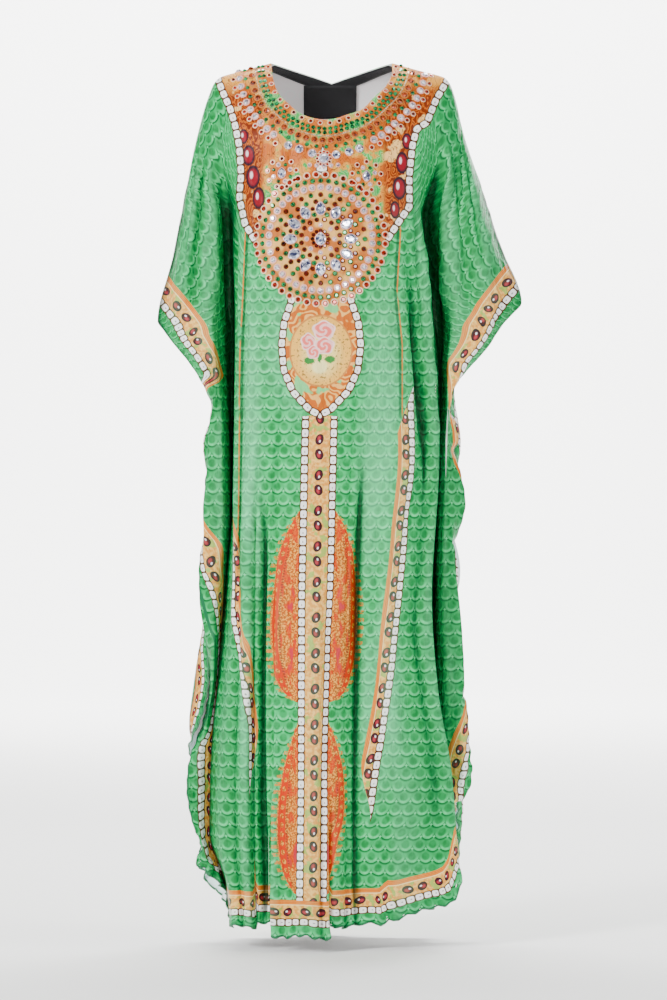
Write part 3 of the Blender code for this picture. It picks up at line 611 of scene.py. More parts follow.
def alongLine(x, y, line):
    # Distance along a polyline and signed distance from it, for arrays of places
    line = np.array(line, float)
    best = np.full(x.shape, 1e9)
    along, away = np.zeros(x.shape), np.zeros(x.shape)
    start = 0.0
    for k, ((ax, ay), (bx, by)) in enumerate(zip(line[:-1], line[1:])):
        length = math.hypot(bx - ax, by - ay)
        t = ((x - ax) * (bx - ax) + (y - ay) * (by - ay)) / length ** 2
        first, last = k == 0, k == len(line) - 2
        held = np.clip(t, -9.0 if first else 0.0, 9.0 if last else 1.0)
        gap = np.hypot(x - ax - held * (bx - ax), y - ay - held * (by - ay))
        side = np.sign((bx - ax) * (y - ay) - (by - ay) * (x - ax))
        closer = gap < best
        best = np.where(closer, gap, best)
        along = np.where(closer, start + held * length, along)
        away = np.where(closer, gap * side, away)
        start += length
    return along, away


class Wire:
    # A node's output, which can be used in sums
    def __init__(self, paint, socket):
        self.paint = paint
        self.socket = socket

    def __add__(self, other):
        return self.paint.math("ADD", self, other)

    def __radd__(self, other):
        return self.paint.math("ADD", other, self)

    def __sub__(self, other):
        return self.paint.math("SUBTRACT", self, other)

    def __rsub__(self, other):
        return self.paint.math("SUBTRACT", other, self)

    def __mul__(self, other):
        return self.paint.math("MULTIPLY", self, other)

    def __rmul__(self, other):
        return self.paint.math("MULTIPLY", other, self)

    def __truediv__(self, other):
        return self.paint.math("DIVIDE", self, other)

    def __neg__(self):
        return self.paint.math("MULTIPLY", self, -1.0)


class Paint:
    def __init__(self, name, **fixed):
        self.material = bpy.data.materials.new(name)
        self.material.use_nodes = True
        self.tree = self.material.node_tree
        self.shader = self.tree.nodes["Principled BSDF"]
        for key, value in fixed.items():
            self.shader.inputs[key.replace("_", " ")].default_value = value

    def node(self, kind, settings=(), values=(), output=0):
        node = self.tree.nodes.new(kind)
        for key, value in dict(settings).items():
            setattr(node, key, value)
        for key, value in dict(values).items():
            if isinstance(value, Wire):
                self.tree.links.new(value.socket, node.inputs[key])
            elif isinstance(value, tuple) and len(node.inputs[key].default_value) == 4 and len(value) == 3:
                node.inputs[key].default_value = (*value, 1.0)
            else:
                node.inputs[key].default_value = value
        return Wire(self, node.outputs[output])

    def math(self, operation, *values):
        return self.node("ShaderNodeMath", {"operation": operation}, enumerate(values))

    def low(self, *values):
        result = values[0]
        for value in values[1:]:
            result = self.math("MINIMUM", result, value)
        return result

    def high(self, *values):
        result = values[0]
        for value in values[1:]:
            result = self.math("MAXIMUM", result, value)
        return result

    def size(self, x, y):
        return self.math("SQRT", x * x + y * y)

    def offset(self, x, pitch):
        return x - self.math("ROUND", x / pitch) * pitch

    def rise(self, x, start, end):
        return self.node("ShaderNodeMapRange", {"interpolation_type": "SMOOTHSTEP"},
                         {"Value": x, "From Min": start, "From Max": end})

    def fall(self, x, start, end):
        return 1.0 - self.rise(x, start, end)

    def between(self, x, start, end, soft):
        return self.rise(x, start - soft, start + soft) * self.fall(x, end - soft, end + soft)

    def choose(self, factor, first, second):
        return first + (second - first) * factor

    def colour(self, factor, first, second):
        return self.node("ShaderNodeMix", {"data_type": "RGBA"}, {0: factor, 6: first, 7: second}, 2)

    def pair(self, mapName):
        uv = self.node("ShaderNodeUVMap", {"uv_map": mapName})
        split = self.node("ShaderNodeSeparateXYZ", values={0: uv}).socket.node
        return [Wire(self, split.outputs[k]) * 1000.0 for k in range(2)]

    def place(self):
        at = self.node("ShaderNodeTexCoord", output=3)
        split = self.node("ShaderNodeSeparateXYZ", values={0: at}).socket.node
        return [Wire(self, split.outputs[k]) * 1000.0 for k in range(3)]

    def vector(self, x, y, z=0.0):
        return self.node("ShaderNodeCombineXYZ", values={0: x, 1: y, 2: z})

    def grain(self, at, scale, detail=2.0):
        return self.node("ShaderNodeTexNoise", values={"Vector": at, "Scale": scale, "Detail": detail})

    def put(self, name, wire):
        self.tree.links.new(wire.socket, self.shader.inputs[name])

    def bump(self, height, distance, strength=1.0):
        self.put("Normal", self.node("ShaderNodeBump", values={"Height": height, "Distance": distance,
                                                                "Strength": strength}))


printValues = {
    "scalePitch": 21.7,
    "scaleRow": 18.5,
    "scaleRadius": 11.3,
    "pearlPitch": 13.9,
    "jewelPitch": 55.0,
    "jewelPair": 11.5,
    "mint": (0.010, 0.560, 0.150),
    "leaf": (0.0002, 0.175, 0.030),
    "deep": (0.0001, 0.032, 0.006),
    "star": (0.16, 0.80, 0.34),
    "sleeveGreen": (0.0001, 0.100, 0.016),
    # Painted shade in the folds' recesses, then the painted sheen and highlight
    "valley": (0.0, 0.020, 0.004),
    "shine": (0.24, 0.86, 0.46),
    "gold": (0.72, 0.29, 0.045),
    "paleGold": (0.90, 0.52, 0.13),
    "orange": (0.66, 0.145, 0.008),
    "orangeLine": (0.84, 0.36, 0.06),
    "brown": (0.14, 0.035, 0.008),
    "trim": (0.95, 0.72, 0.32),
    "sprig": (0.24, 0.46, 0.08),
    "rolled": (0.01, 0.14, 0.05),
    "pearl": (0.97, 0.95, 0.92),
    "pearlLine": (0.070, 0.022, 0.006),
    "pearlMark": (0.10, 0.07, 0.08),
    "jewel": (0.060, 0.006, 0.012),
    "jewelGlow": (0.46, 0.035, 0.050),
    "jewelRim": (0.022, 0.009, 0.018),
    "glint": (0.95, 0.90, 0.93),
    "peach": (0.52, 0.115, 0.010),
    "cream": (0.74, 0.33, 0.045),
    "red": (0.60, 0.030, 0.001),
    "leafGreen": (0.035, 0.22, 0.04),
}


def scalePattern(paint, u, v, depth):
    # Rows of round scales, each over the row below it
    values = printValues
    pitch, row = values["scalePitch"], values["scaleRow"]
    evenX, evenY = paint.offset(u, pitch), paint.offset(v, row * 2)
    oddX, oddY = paint.offset(u - pitch / 2, pitch), paint.offset(v - row, row * 2)
    evenAbove = paint.math("GREATER_THAN", evenY, 0.0)
    upperX, upperY = paint.choose(evenAbove, oddX, evenX), paint.choose(evenAbove, oddY, evenY)
    upperAway = paint.size(upperX, upperY)
    beneath = paint.math("GREATER_THAN", upperAway, values["scaleRadius"])
    x = paint.choose(beneath, upperX, paint.choose(evenAbove, evenX, oddX))
    y = paint.choose(beneath, upperY, paint.choose(evenAbove, evenY, oddY))
    away = paint.size(x, y)
    core = paint.fall(away, 4.4, 7.4)
    crescent = paint.between(away, 6.9, 10.0, 0.9) * paint.rise(y, -1.0, 7.0)
    line = paint.high(paint.rise(upperAway, 10.5, 11.2) * paint.fall(upperAway, 11.6, 13.2),
                      beneath * paint.fall(upperAway, 12.2, 14.6) * 0.8)
    spread = paint.math("SQRT", paint.high(pitch / 2 - paint.math("ABSOLUTE", upperX), 0.0)) \
        + paint.math("SQRT", paint.math("ABSOLUTE", upperY - 7.0))
    star = paint.fall(spread, 1.5, 2.4)
    mint = paint.colour(depth, values["mint"], values["leaf"])
    leaf = paint.colour(depth, values["leaf"], values["sleeveGreen"])
    dark = paint.colour(depth, (0.0001, 0.075, 0.012), values["deep"])
    bright = paint.colour(depth, values["star"], values["mint"])
    patches = paint.rise(paint.grain(paint.vector(u * mm, v * mm), 70.0, 2.0), 0.40, 0.62)
    result = paint.colour(core * 0.5 + patches * 0.35, mint, leaf)
    result = paint.colour(crescent * (0.65 - patches * 0.30), result, bright)
    result = paint.colour(line * 0.9, result, dark)
    return paint.colour(star * 0.85, result, bright)


def pearlPattern(paint, under, along, away):
    # Blunt beads that nearly touch, in a thin dark line
    values = printValues
    x = paint.offset(along, values["pearlPitch"])

    def bead(length, width):
        across, down = x / length, away / width
        across, down = across * across, down * down
        return across * across + down * down

    mark = paint.size((x - 1.2) / 1.7, away / 1.0)
    result = paint.colour(paint.fall(bead(8.4, 6.2), 0.9, 1.1), under, values["pearlLine"])
    result = paint.colour(paint.fall(bead(5.7, 4.6), 0.85, 1.15), result, values["pearl"])
    return paint.colour(paint.fall(mark, 0.7, 1.2) * 0.75, result, values["pearlMark"])


def jewelPattern(paint, under, along, away):
    values = printValues
    # Tilted ovals in pairs, each with a glow and a glint
    period = paint.offset(along, values["jewelPitch"])
    x = paint.math("ABSOLUTE", period) - values["jewelPair"]
    turnX = x * 0.95 + away * 0.31
    turnY = away * 0.95 - x * 0.31
    oval = paint.size(turnX / 8.6, turnY / 6.3)
    glint = paint.size((turnX + 2.4) / 2.3, (turnY - 1.4) / 1.5)
    glow = paint.size((turnX - 1.6) / 4.6, (turnY + 1.2) / 3.0)
    result = paint.colour(paint.fall(oval, 0.97, 1.05), under, values["jewelRim"])
    result = paint.colour(paint.fall(oval, 0.66, 0.84), result, values["jewel"])
    result = paint.colour(paint.fall(glow, 0.3, 1.2) * 0.9, result, values["jewelGlow"])
    return paint.colour(paint.fall(glint, 0.6, 1.1), result, values["glint"])


def bandGround(paint, at):
    values = printValues
    speck = paint.grain(at, 170.0, 3.0)
    sprig = paint.grain(at, 60.0, 2.0)
    ground = paint.colour(paint.rise(speck, 0.42, 0.60), values["gold"], values["paleGold"])
    return paint.colour(paint.rise(sprig, 0.56, 0.60) * 0.8, ground, values["sprig"])


def paisleyPattern(paint, under, x, v, top, foot, width, at):
    values = printValues
    share = (v - top) / (foot - top)
    bent = paint.math("POWER", paint.low(paint.high(share, 0.001), 0.999), 1.45)
    half = paint.math("SQRT", bent * (1.0 - bent)) * (2.0 * width) + 0.01
    m = x / half
    fine = paint.grain(at, 300.0, 2.0)
    speck = paint.grain(paint.vector(x * 0.0018, v * 0.0009, 5.0), 270.0, 2.0)
    flames = paint.grain(paint.vector(x * 0.0013, v * 0.00045, 3.0), 62.0, 2.0)
    here = paint.math("GREATER_THAN", share, 0.0) * paint.math("LESS_THAN", share, 1.0) \
        * paint.math("GREATER_THAN", x, 0.0)
    gold = paint.colour(paint.rise(fine, 0.44, 0.56), (0.46, 0.09, 0.006), (0.86, 0.36, 0.05))
    gold = paint.colour(paint.rise(speck, 0.56, 0.62) * 0.85, gold, (0.17, 0.040, 0.012))
    inside = paint.colour(paint.rise(flames, 0.50, 0.55) * 0.8, gold, values["red"])
    inside = paint.colour(paint.rise(flames, 0.58, 0.63) * paint.between(share, 0.40, 0.85, 0.1) * 0.85,
                          inside, (0.50, 0.020, 0.050))
    sprig = paint.between(m, 1.0, 1.24, 0.02) * paint.rise(paint.math("SINE", v * 0.52), -0.2, 0.4) \
        * paint.rise(fine, 0.40, 0.48)
    result = paint.colour(here * sprig, under, (0.60, 0.22, 0.03))
    result = paint.colour(here * paint.fall(m, 0.98, 1.02), result, gold)
    leafX, leafY = paint.offset(v, 14.0) / 4.4, (m - 0.81) * half / 3.4
    band = paint.between(m, 0.67, 0.95, 0.012)
    result = paint.colour(here * band, result, values["red"])
    result = paint.colour(here * band * paint.fall(paint.size(leafX, leafY), 0.7, 1.1), result, gold)
    result = paint.colour(here * paint.fall(m, 0.67, 0.69), result, inside)
    dots = paint.between(m, 0.60, 0.66, 0.01) * paint.rise(paint.math("SINE", v * 1.5), 0.0, 0.3)
    return paint.colour(here * dots * 0.8, result, (0.10, 0.03, 0.02))


# Roses of the oval: u and v from its middle, half width, half height
roses = ((4, -32, 17, 14), (-20, -14, 11, 13), (5, -8, 15, 13), (-12, 2, 10, 10))
leaves = ((-2, 9, 4, 9), (14, 13, 9, 6), (-18, 15, 9, 6))


def cartouchePattern(paint, under, u, v, inside, at):
    values = printValues
    fine = paint.grain(at, 240.0, 2.0)
    patch = paint.grain(at, 36.0, 2.0)
    scroll = paint.math("SINE", paint.grain(at, 24.0, 2.0) * 60.0)
    ground = paint.colour(paint.rise(scroll, -0.2, 0.6), values["peach"], (0.86, 0.44, 0.10))
    ground = paint.colour(paint.rise(patch, 0.54, 0.58), ground, (0.16, 0.60, 0.20))
    result = paint.colour(inside, under, ground)
    y = v - 457.0
    oval = paint.size(u / 48.0, y / 55.0)
    yellow = paint.colour(paint.fall(paint.size(u / 34.0, (y - 6.0) / 40.0), 0.4, 1.2), (0.84, 0.44, 0.07),
                          (0.93, 0.74, 0.24))
    yellow = paint.colour(paint.rise(fine, 0.58, 0.62) * 0.85, yellow, (0.22, 0.12, 0.03))
    result = paint.colour(paint.fall(oval, 1.0, 1.03), result, (0.55, 0.20, 0.04))
    result = paint.colour(paint.fall(oval, 0.95, 0.98), result, yellow)
    result = paint.colour(paint.fall(paint.size((u + 2.0) / 13.0, (y - 24.0) / 12.0), 0.7, 1.1), result,
                          (0.95, 0.85, 0.36))
    for middleX, middleY, wide, tall in leaves:
        leaf = paint.size((u - middleX) / wide, (y - middleY) / tall) + fine * 0.9
        result = paint.colour(paint.fall(leaf, 1.2, 1.5), result, values["leafGreen"])
    for middleX, middleY, wide, tall in roses:
        a, b = (u - middleX) / wide, (y - middleY) / tall
        away, angle = paint.size(a, b), paint.math("ARCTAN2", a, b)
        edge = away + paint.math("COSINE", angle * 5.0) * 0.07
        fold = paint.math("SINE", away * 9.0 + angle * 2.0 + patch * 6.0)
        petal = paint.colour(paint.rise(fold, -0.3, 0.8), (0.86, 0.16, 0.13), (0.95, 0.52, 0.50))
        result = paint.colour(paint.fall(edge, 0.98, 1.08), result, (0.96, 0.66, 0.62))
        result = paint.colour(paint.fall(edge, 0.82, 0.94), result, petal)
    return result


# Painted oval stones of the yoke: x, drop, half width, half height
cabochons = ((-121, 186, 10, 17), (-128, 152, 9, 15), (-112, 219, 9, 16), (-136, 122, 7, 11),
             (110, 164, 9, 16), (106, 204, 10, 17), (99, 238, 7, 13), (118, 130, 7, 12))


def yokePattern(paint, under, x, drop, inside, at):
    values = printValues
    wander = paint.grain(at, 30.0, 3.0)
    lines = paint.math("SINE", paint.grain(paint.vector(x * 0.0015, drop * 0.0008, 1.0), 34.0, 2.0) * 70.0)
    inner = paint.fall(paint.math("ABSOLUTE", x + 12.0), 88.0, 100.0)
    ground = paint.colour(paint.rise(wander, 0.44, 0.56), values["peach"], values["cream"])
    green = paint.colour(paint.rise(lines, -0.4, 0.6), (0.030, 0.34, 0.06), (0.20, 0.62, 0.18))
    ground = paint.colour(paint.rise(wander, 0.54, 0.58) * inner, ground, green)
    outer = paint.colour(paint.rise(lines, -0.2, 0.6), (0.17, 0.022, 0.003), (0.60, 0.13, 0.010))
    outer = paint.colour(paint.rise(wander, 0.58, 0.62), outer, (0.86, 0.50, 0.16))
    ground = paint.colour((1.0 - inner) * paint.rise(drop, 30.0, 60.0), ground, outer)
    ground = paint.colour(paint.rise(lines, 0.86, 0.97) * 0.85, ground, values["brown"])
    nearest, glint = None, None
    for centreX, centreDrop, wide, tall in cabochons:
        away = paint.size((x - centreX) / wide, (drop - centreDrop) / tall)
        shine = paint.size((x - centreX + wide * 0.25) / (wide * 0.3),
                           (drop - centreDrop + tall * 0.2) / (tall * 0.4))
        nearest = away if nearest is None else paint.low(nearest, away)
        glint = shine if glint is None else paint.low(glint, shine)
    ground = paint.colour(paint.fall(nearest, 1.0, 1.15), ground, values["jewelRim"])
    ground = paint.colour(paint.fall(nearest, 0.60, 0.95), ground, (0.24, 0.008, 0.018))
    ground = paint.colour(paint.fall(glint, 0.5, 1.1), ground, (0.85, 0.62, 0.66))
    result = paint.colour(inside, under, ground)
    away = paint.size(x - rosette["x"], drop - rosette["drop"])
    disc = paint.fall(away, rosette["radius"], rosette["radius"] + 2.0)
    warm = paint.colour(paint.rise(wander, 0.42, 0.58), (0.48, 0.13, 0.018), (0.82, 0.44, 0.11))
    return paint.colour(disc, result, warm)


rosette = {"x": -16.0, "drop": 284.0, "petals": 47.0, "radius": 100.0}


# How much of the front's side border is turned behind a fold: drop, millimetres
hiddenEdge = {
    "left": ((300, 0), (490, 0), (525, 62), (640, 62), (670, 45), (706, 27), (750, 20), (794, 13), (822, 1),
             (842, -5), (865, -9), (887, -14), (905, -22), (1000, -25), (1040, -16), (1075, 0), (1270, 0)),
    "right": ((300, 0), (470, 4), (510, 26), (560, 30), (610, 44), (700, 62), (960, 62), (1000, 54),
              (1030, 38), (1056, 24), (1090, 10), (1124, 2), (1160, 20), (1200, 50), (1225, 58), (1290, 20)),
}
# Middle of the front's vertical bands where the cloth shows them: drop, x
bandMiddle = {
    "left": ((812, -148), (865, -143), (917, -136), (940, -132), (970, -127), (992, -124), (1017, -121),
             (1060, -119), (1300, -118)),
    "right": ((540, 112), (640, 115), (740, 105), (860, 92), (1000, 77.5), (1053, 67), (1106, 57),
              (1136, 52), (1176, 42), (1330, 40)),
}
bandTop = {"left": 690.0, "right": 548.0}
# Thin orange lines, the edge of each vertical band where it shows in its tuck, with painted shade beside
# each: x, drop
tuckLines = {
    "left": ((-131, 240), (-132, 266), (-141, 447), (-144, 707), (-147, 800)),
    "right": ((107, 240), (107, 277), (102, 362), (110, 447), (110, 556)),
}


# Where a painted sheen makes the front's satin palest: u, v, half width, half height
paintedSheenAreas = ((-30, 450, 75, 130), (95, 590, 40, 300), (-118, 590, 34, 330), (-150, 1010, 26, 150),
             (125, 1010, 50, 190))

# Rows of the print, millimetres: how far in from an edge, across a vertical band or strip, or down the cloth
printRows = {
    "borderFoot": 24.0, "borderPearls": 22.0, "borderJewels": 38.0, "borderTrim": 48.0, "borderLine": 49.5,
    "borderTop": 56.0, "stripHalf": 19.0, "stripPearls": 22.0, "stripTop": 556.0, "bandFoot": -13.0,
    "bandLine": -6.8, "bandPearls": 10.5, "bandTop": 12.0, "backBand": 134.0, "backTop": 400.0,
}
# Paisleys on each side of the strip: top, foot, width
paisleys = ((700.0, 1000.0, 60.0), (1026.0, 1296.0, 44.0))


def printedSatin(name, isFront):
    values = printValues
    paint = Paint(name, Roughness=0.42, Specular_IOR_Level=0.1)
    u, v = paint.pair("flat")
    turnU, turnV = paint.pair("turned")
    sideAlong, sideIn = paint.pair("side")
    hemAlong, hemIn = paint.pair("hem")
    x, _, z = paint.place()
    drop = -z
    at = paint.vector(u * mm, v * mm, 0.0)
    wide = paint.math("ABSOLUTE", u)
    depth = paint.rise(wide, 120.0, 200.0) * 0.35 + paint.grain(at, 5.0, 1.0) * 0.3
    result = scalePattern(paint, turnU, turnV, depth)
    if isFront:
        # Painted sheen: the satin is painted paler where the light shines on it most
        paintedSheen = None
        for middleU, middleV, wideU, tallV in paintedSheenAreas:
            here = paint.fall(paint.size((u - middleU) / wideU, (v - middleV) / tallV), 0.25, 1.1)
            paintedSheen = here if paintedSheen is None else paint.high(paintedSheen, here)
        result = paint.colour(paintedSheen * 0.22, result, values["shine"])

    isSide = paint.math("LESS_THAN", sideIn, hemIn)
    edgeIn = paint.low(sideIn, hemIn)
    edgeAlong = paint.choose(isSide, hemAlong, sideAlong)
    clear = paint.rise(edgeIn, printRows["borderTop"] - 2.0, printRows["borderTop"])
    ground = bandGround(paint, at)
    stripHere = clear * paint.rise(v, printRows["stripTop"], printRows["stripTop"] + 2.0)
    if isFront:
        tuckAway, bandAcross = paint.pair("band")
        isLeft = paint.math("LESS_THAN", u, 0.0)
        slant = paint.choose(isLeft, bandAcross * 2.6, bandAcross * -1.5)
        bandStart = paint.choose(isLeft, bandTop["right"], bandTop["left"])
        bandHere = clear * paint.rise(v + slant, bandStart, bandStart + 2.0)
    else:
        bandAcross = wide - printRows["backBand"]
        bandHere = clear * paint.rise(v, printRows["backTop"], printRows["backTop"] + 2.0)
    if isFront:
        for top, foot, width in paisleys:
            shape = paisleyPattern(paint, result, wide - printRows["stripPearls"], v, top, foot, width, at)
            result = paint.colour(clear, result, shape)
    strip = stripHere * paint.fall(wide, printRows["stripHalf"], printRows["stripHalf"] + 0.6)
    if isFront:
        # Both bands run out downwards into a fold, and the left one's line shows again above the hem
        sunk = paint.choose(isLeft, paint.rise(v, 1085.0, 1200.0), paint.rise(v, 1030.0, 1165.0))
        bandHere = bandHere * paint.rise(bandAcross - (sunk * 30.0 - 14.0), 0.0, 1.0)
        thin = paint.fall(paint.math("ABSOLUTE", bandAcross), 0.7, 1.4)
        glimpse = isLeft * clear * paint.rise(v, 1240.0, 1256.0) * thin
        result = paint.colour(glimpse, result, values["orange"])
    band = bandHere * paint.between(bandAcross, printRows["bandFoot"], printRows["bandTop"], 0.4)
    border = paint.fall(edgeIn, printRows["borderTop"], printRows["borderTop"] + 0.8) \
        * paint.rise(edgeIn, printRows["borderFoot"], printRows["borderFoot"] + 0.8)
    result = paint.colour(paint.high(strip, band, border), result, ground)
    orangeLine = paint.high(band * paint.fall(bandAcross, printRows["bandLine"] - 0.6, printRows["bandLine"]),
                            paint.between(edgeIn, printRows["borderLine"], printRows["borderTop"], 0.4))
    result = paint.colour(orangeLine, result, values["orange"])
    lines = paint.math("SINE", paint.choose(band, edgeIn, bandAcross) * 2.6)
    result = paint.colour(orangeLine * paint.rise(lines, 0.2, 0.9) * 0.6, result, values["orangeLine"])
    line = printRows["bandLine"]
    trim = paint.high(paint.between(edgeIn, printRows["borderTrim"], printRows["borderTrim"] + 1.4, 0.3),
                      band * paint.between(bandAcross, line, line + 1.2, 0.3))
    result = paint.colour(trim, result, values["trim"])
    if isFront:
        tuckFoot = paint.choose(isLeft, tuckLines["right"][-1][1], tuckLines["left"][-1][1])
        broken = paint.rise(paint.grain(at, 22.0, 2.0), 0.36, 0.46)
        shown = paint.between(drop, 262.0, tuckFoot, 8.0) * clear
        # Painted shade: a dark stripe beside each orange tuck line stands for the shade inside the tuck
        result = paint.colour(shown * paint.between(tuckAway, -5.5, -1.0, 1.0) * 0.7, result, values["deep"])
        tuckLine = shown * paint.between(tuckAway, -0.9, 0.9, 0.3) * broken
        result = paint.colour(tuckLine, result, values["orange"])

    # Jewels, then pearls, run along whichever row is nearest
    far = 60.0
    stripAway = wide + (1.0 - stripHere) * far
    bandAway = paint.math("ABSOLUTE", bandAcross) + (1.0 - bandHere) * far
    edgeAway = paint.math("ABSOLUTE", edgeIn - printRows["borderJewels"])
    useEdge = paint.math("LESS_THAN", edgeAway, paint.low(stripAway, bandAway))
    jewelAway = paint.choose(useEdge, paint.low(stripAway, bandAway), edgeAway)
    useBand = paint.math("LESS_THAN", bandAway, stripAway)
    signed = paint.choose(useEdge, paint.choose(useBand, u, bandAcross),
                          edgeIn - printRows["borderJewels"])
    jewelAway = paint.choose(paint.math("GREATER_THAN", jewelAway, 12.0), signed, far)
    result = jewelPattern(paint, result, paint.choose(useEdge, v, edgeAlong), jewelAway)

    stripAway = paint.math("ABSOLUTE", wide - printRows["stripPearls"]) + (1.0 - stripHere) * far
    bandAway = paint.math("ABSOLUTE", bandAcross - printRows["bandPearls"]) + (1.0 - bandHere) * far
    edgeAway = paint.math("ABSOLUTE", edgeIn - printRows["borderPearls"])
    useEdge = paint.math("LESS_THAN", edgeAway, paint.low(stripAway, bandAway))
    pearlAway = paint.choose(useEdge, paint.low(stripAway, bandAway), edgeAway)
    result = pearlPattern(paint, result, paint.choose(useEdge, v, edgeAlong), pearlAway)
    if isFront:
        yokeAlong, yokeIn = paint.pair("yoke")
        ovalAlong, ovalIn = paint.pair("cartouche")
        foot = printRows["stripTop"]
        inOval = paint.rise(ovalIn, 0.0, 1.0) * paint.fall(v, foot, foot + 2.0)
        result = cartouchePattern(paint, result, u, v, inOval, at)
        result = yokePattern(paint, result, x, drop, paint.rise(yokeIn, 0.0, 1.0), at)
        overRosette = paint.fall(paint.size(x - rosette["x"], drop - rosette["drop"]),
                                 rosette["radius"] - 2.0, rosette["radius"])
        yokeAway = paint.math("ABSOLUTE", yokeIn) + paint.rise(drop, 292.0, 293.0) * far + overRosette * far
        ovalAway = paint.math("ABSOLUTE", ovalIn) + overRosette * far
        useOval = paint.math("LESS_THAN", ovalAway, yokeAway)
        result = pearlPattern(paint, result, paint.choose(useOval, yokeAlong, ovalAlong),
                              paint.choose(useOval, yokeAway, ovalAway))
    result = paint.colour(paint.between(edgeIn, -4.0, 2.0, 0.4), result, values["rolled"])
    # Painted highlight on the ridges of the folds and painted shade in their recesses
    low, high = paint.pair("shade")
    result = paint.colour(paint.rise(high, 0.0, 1.0) * 0.10, result, values["shine"])
    result = paint.colour(paint.rise(low, 0.06, 0.9) * 0.85, result, values["valley"])
    paint.put("Base Color", result)
    weave = paint.grain(paint.vector(u * mm * 6.0, v * mm, 0.0), 900.0, 1.0)
    crumple = paint.grain(paint.vector(u * mm * 2.0, v * mm * 0.7, 7.0), 26.0, 3.0)
    paint.bump(weave * 0.03 + crumple * 3.2, 0.005, 0.6)
    paint.put("Roughness", 0.30 + paint.grain(at, 30.0, 2.0) * 0.14)
    return paint.material


def reverseSatin():
    paint = Paint("reverse", Roughness=0.5, Specular_IOR_Level=0.4)
    u, v = paint.pair("flat")
    x, y = paint.offset(u, 21.7), paint.offset(v, 37.0)
    dots = paint.between(paint.size(x, y), 6.0, 9.0, 1.4) * 0.35
    _, sideIn = paint.pair("side")
    _, hemIn = paint.pair("hem")
    edge = paint.fall(paint.low(sideIn, hemIn), 1.6, 2.4)
    base = paint.colour(dots, (0.94, 0.90, 0.90), (0.86, 0.95, 0.94))
    base = paint.colour(paint.fall(sideIn, 60.0, 90.0), base, (0.80, 0.98, 0.96))
    paint.put("Base Color", paint.colour(edge, base, printValues["rolled"]))
    return paint.material


def plainPaint(name, colour, **fixed):
    paint = Paint(name, **fixed)
    paint.shader.inputs["Base Color"].default_value = (*colour, 1.0)
    return paint.material


front = Cloth(-1, frontCentre, frontLines, frontEdge, frontNeck, frontHem, frontFolds + frontCreases)
back = Cloth(1, backCentre, backLines, backEdge, backNeck, backHem, backFolds + backCreases)
print("stage: cloth")


def bandPlaces(cloth):
    # Distance of each place from the middle of its side's vertical band, along the cloth
    away = np.zeros(cloth.u.shape)
    for side, sign in (("left", -1), ("right", 1)):
        drops = np.linspace(bandMiddle[side][0][0], bandMiddle[side][-1][0], 60)
        middles = []
        places = np.linspace(0.0, 0.56, 281) * sign
        for drop in drops:
            line = cloth.points(places, drop)
            wanted = float(tableColumn(bandMiddle[side], 1, drop))
            reached = np.maximum.accumulate(line[:, 0] * sign)
            k = int(np.searchsorted(reached, wanted * sign))
            u, _ = cloth.flatPlaces(places[min(k, 280)], drop)
            middles.append(abs(float(u)))
        window = np.ones(13) / 13
        middles = np.convolve(np.pad(middles, 6, mode="edge"), window, mode="valid")
        mask = np.sign(cloth.u + 1e-9) == sign
        away[mask] = (np.abs(cloth.u) - np.interp(cloth.drops, drops, middles))[mask]
    return away


def turnedPlaces(cloth):
    # The print's grain follows the arm on the sleeves
    values = clothValues
    amount = smoothStep(0.44, 0.60, np.abs(cloth.across)) * (1 - smoothStep(340.0, 520.0, cloth.drops))
    angle = np.radians(values["sleeveTurn"]) * amount
    away, down = np.abs(cloth.u) - 250.0, cloth.v - 330.0
    u = 250.0 + away * np.cos(angle) + down * np.sin(angle)
    v = 330.0 - away * np.sin(angle) + down * np.cos(angle)
    return np.sign(cloth.u) * u, v


yokeLines = {
    "left": ((-177, 26), (-170, 46), (-157, 76), (-149, 103), (-142, 138), (-139, 181), (-142, 215),
             (-133, 258), (-115, 288), (-80, 350), (-16, 380)),
    "right": ((182, 28), (163, 63), (149, 99), (133, 110), (126, 137), (121, 185), (121, 232), (107, 253),
              (85, 287), (50, 350), (-16, 380)),
}
ovalLine = ((40, 350), (47, 383), (57, 412), (61, 448), (57, 487), (42, 520), (16, 548), (0, 556))


def sceneMaps(cloth, isFront):
    maps = {
        "flat": (cloth.u, cloth.v),
        "turned": turnedPlaces(cloth),
        "side": (cloth.sideAlong, cloth.sideIn),
        "hem": (cloth.hemAlong, cloth.hemIn),
        "shade": cloth.shade(),
    }
    if not isFront:
        # The border shows whole where the back's left edge wraps forward
        wrapped = smoothStep(850.0, 900.0, cloth.drops) * (1 - smoothStep(1050.0, 1090.0, cloth.drops))
        wrapped = wrapped * (cloth.across < 0)
        maps["side"] = (cloth.sideAlong, cloth.sideIn * (1 + 0.9 * wrapped))
    if isFront:
        x, drop = cloth.grid[..., 0], cloth.drops
        left = alongLine(x, drop, yokeLines["left"])
        right = alongLine(x, drop, yokeLines["right"])
        isLeft = x < rosette["x"]
        maps["yoke"] = (np.where(isLeft, left[0], right[0]), np.where(isLeft, -left[1], right[1]))
        along, away = alongLine(np.abs(cloth.u), cloth.v, ovalLine)
        maps["cartouche"] = (along, away)
        away = [alongLine(x, drop, tuckLines[side])[1] for side in ("left", "right")]
        maps["band"] = (np.where(isLeft, away[0], -away[1]), bandPlaces(cloth))
        hidden = np.where(cloth.across < 0, tableColumn(hiddenEdge["left"], 1, cloth.drops),
                          tableColumn(hiddenEdge["right"], 1, cloth.drops))
        maps["side"] = (cloth.sideAlong, cloth.sideIn + hidden)
    return maps


def declare(item, slotName, *nodes):
    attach(item, "root")
    if nodes:
        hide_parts(*nodes)


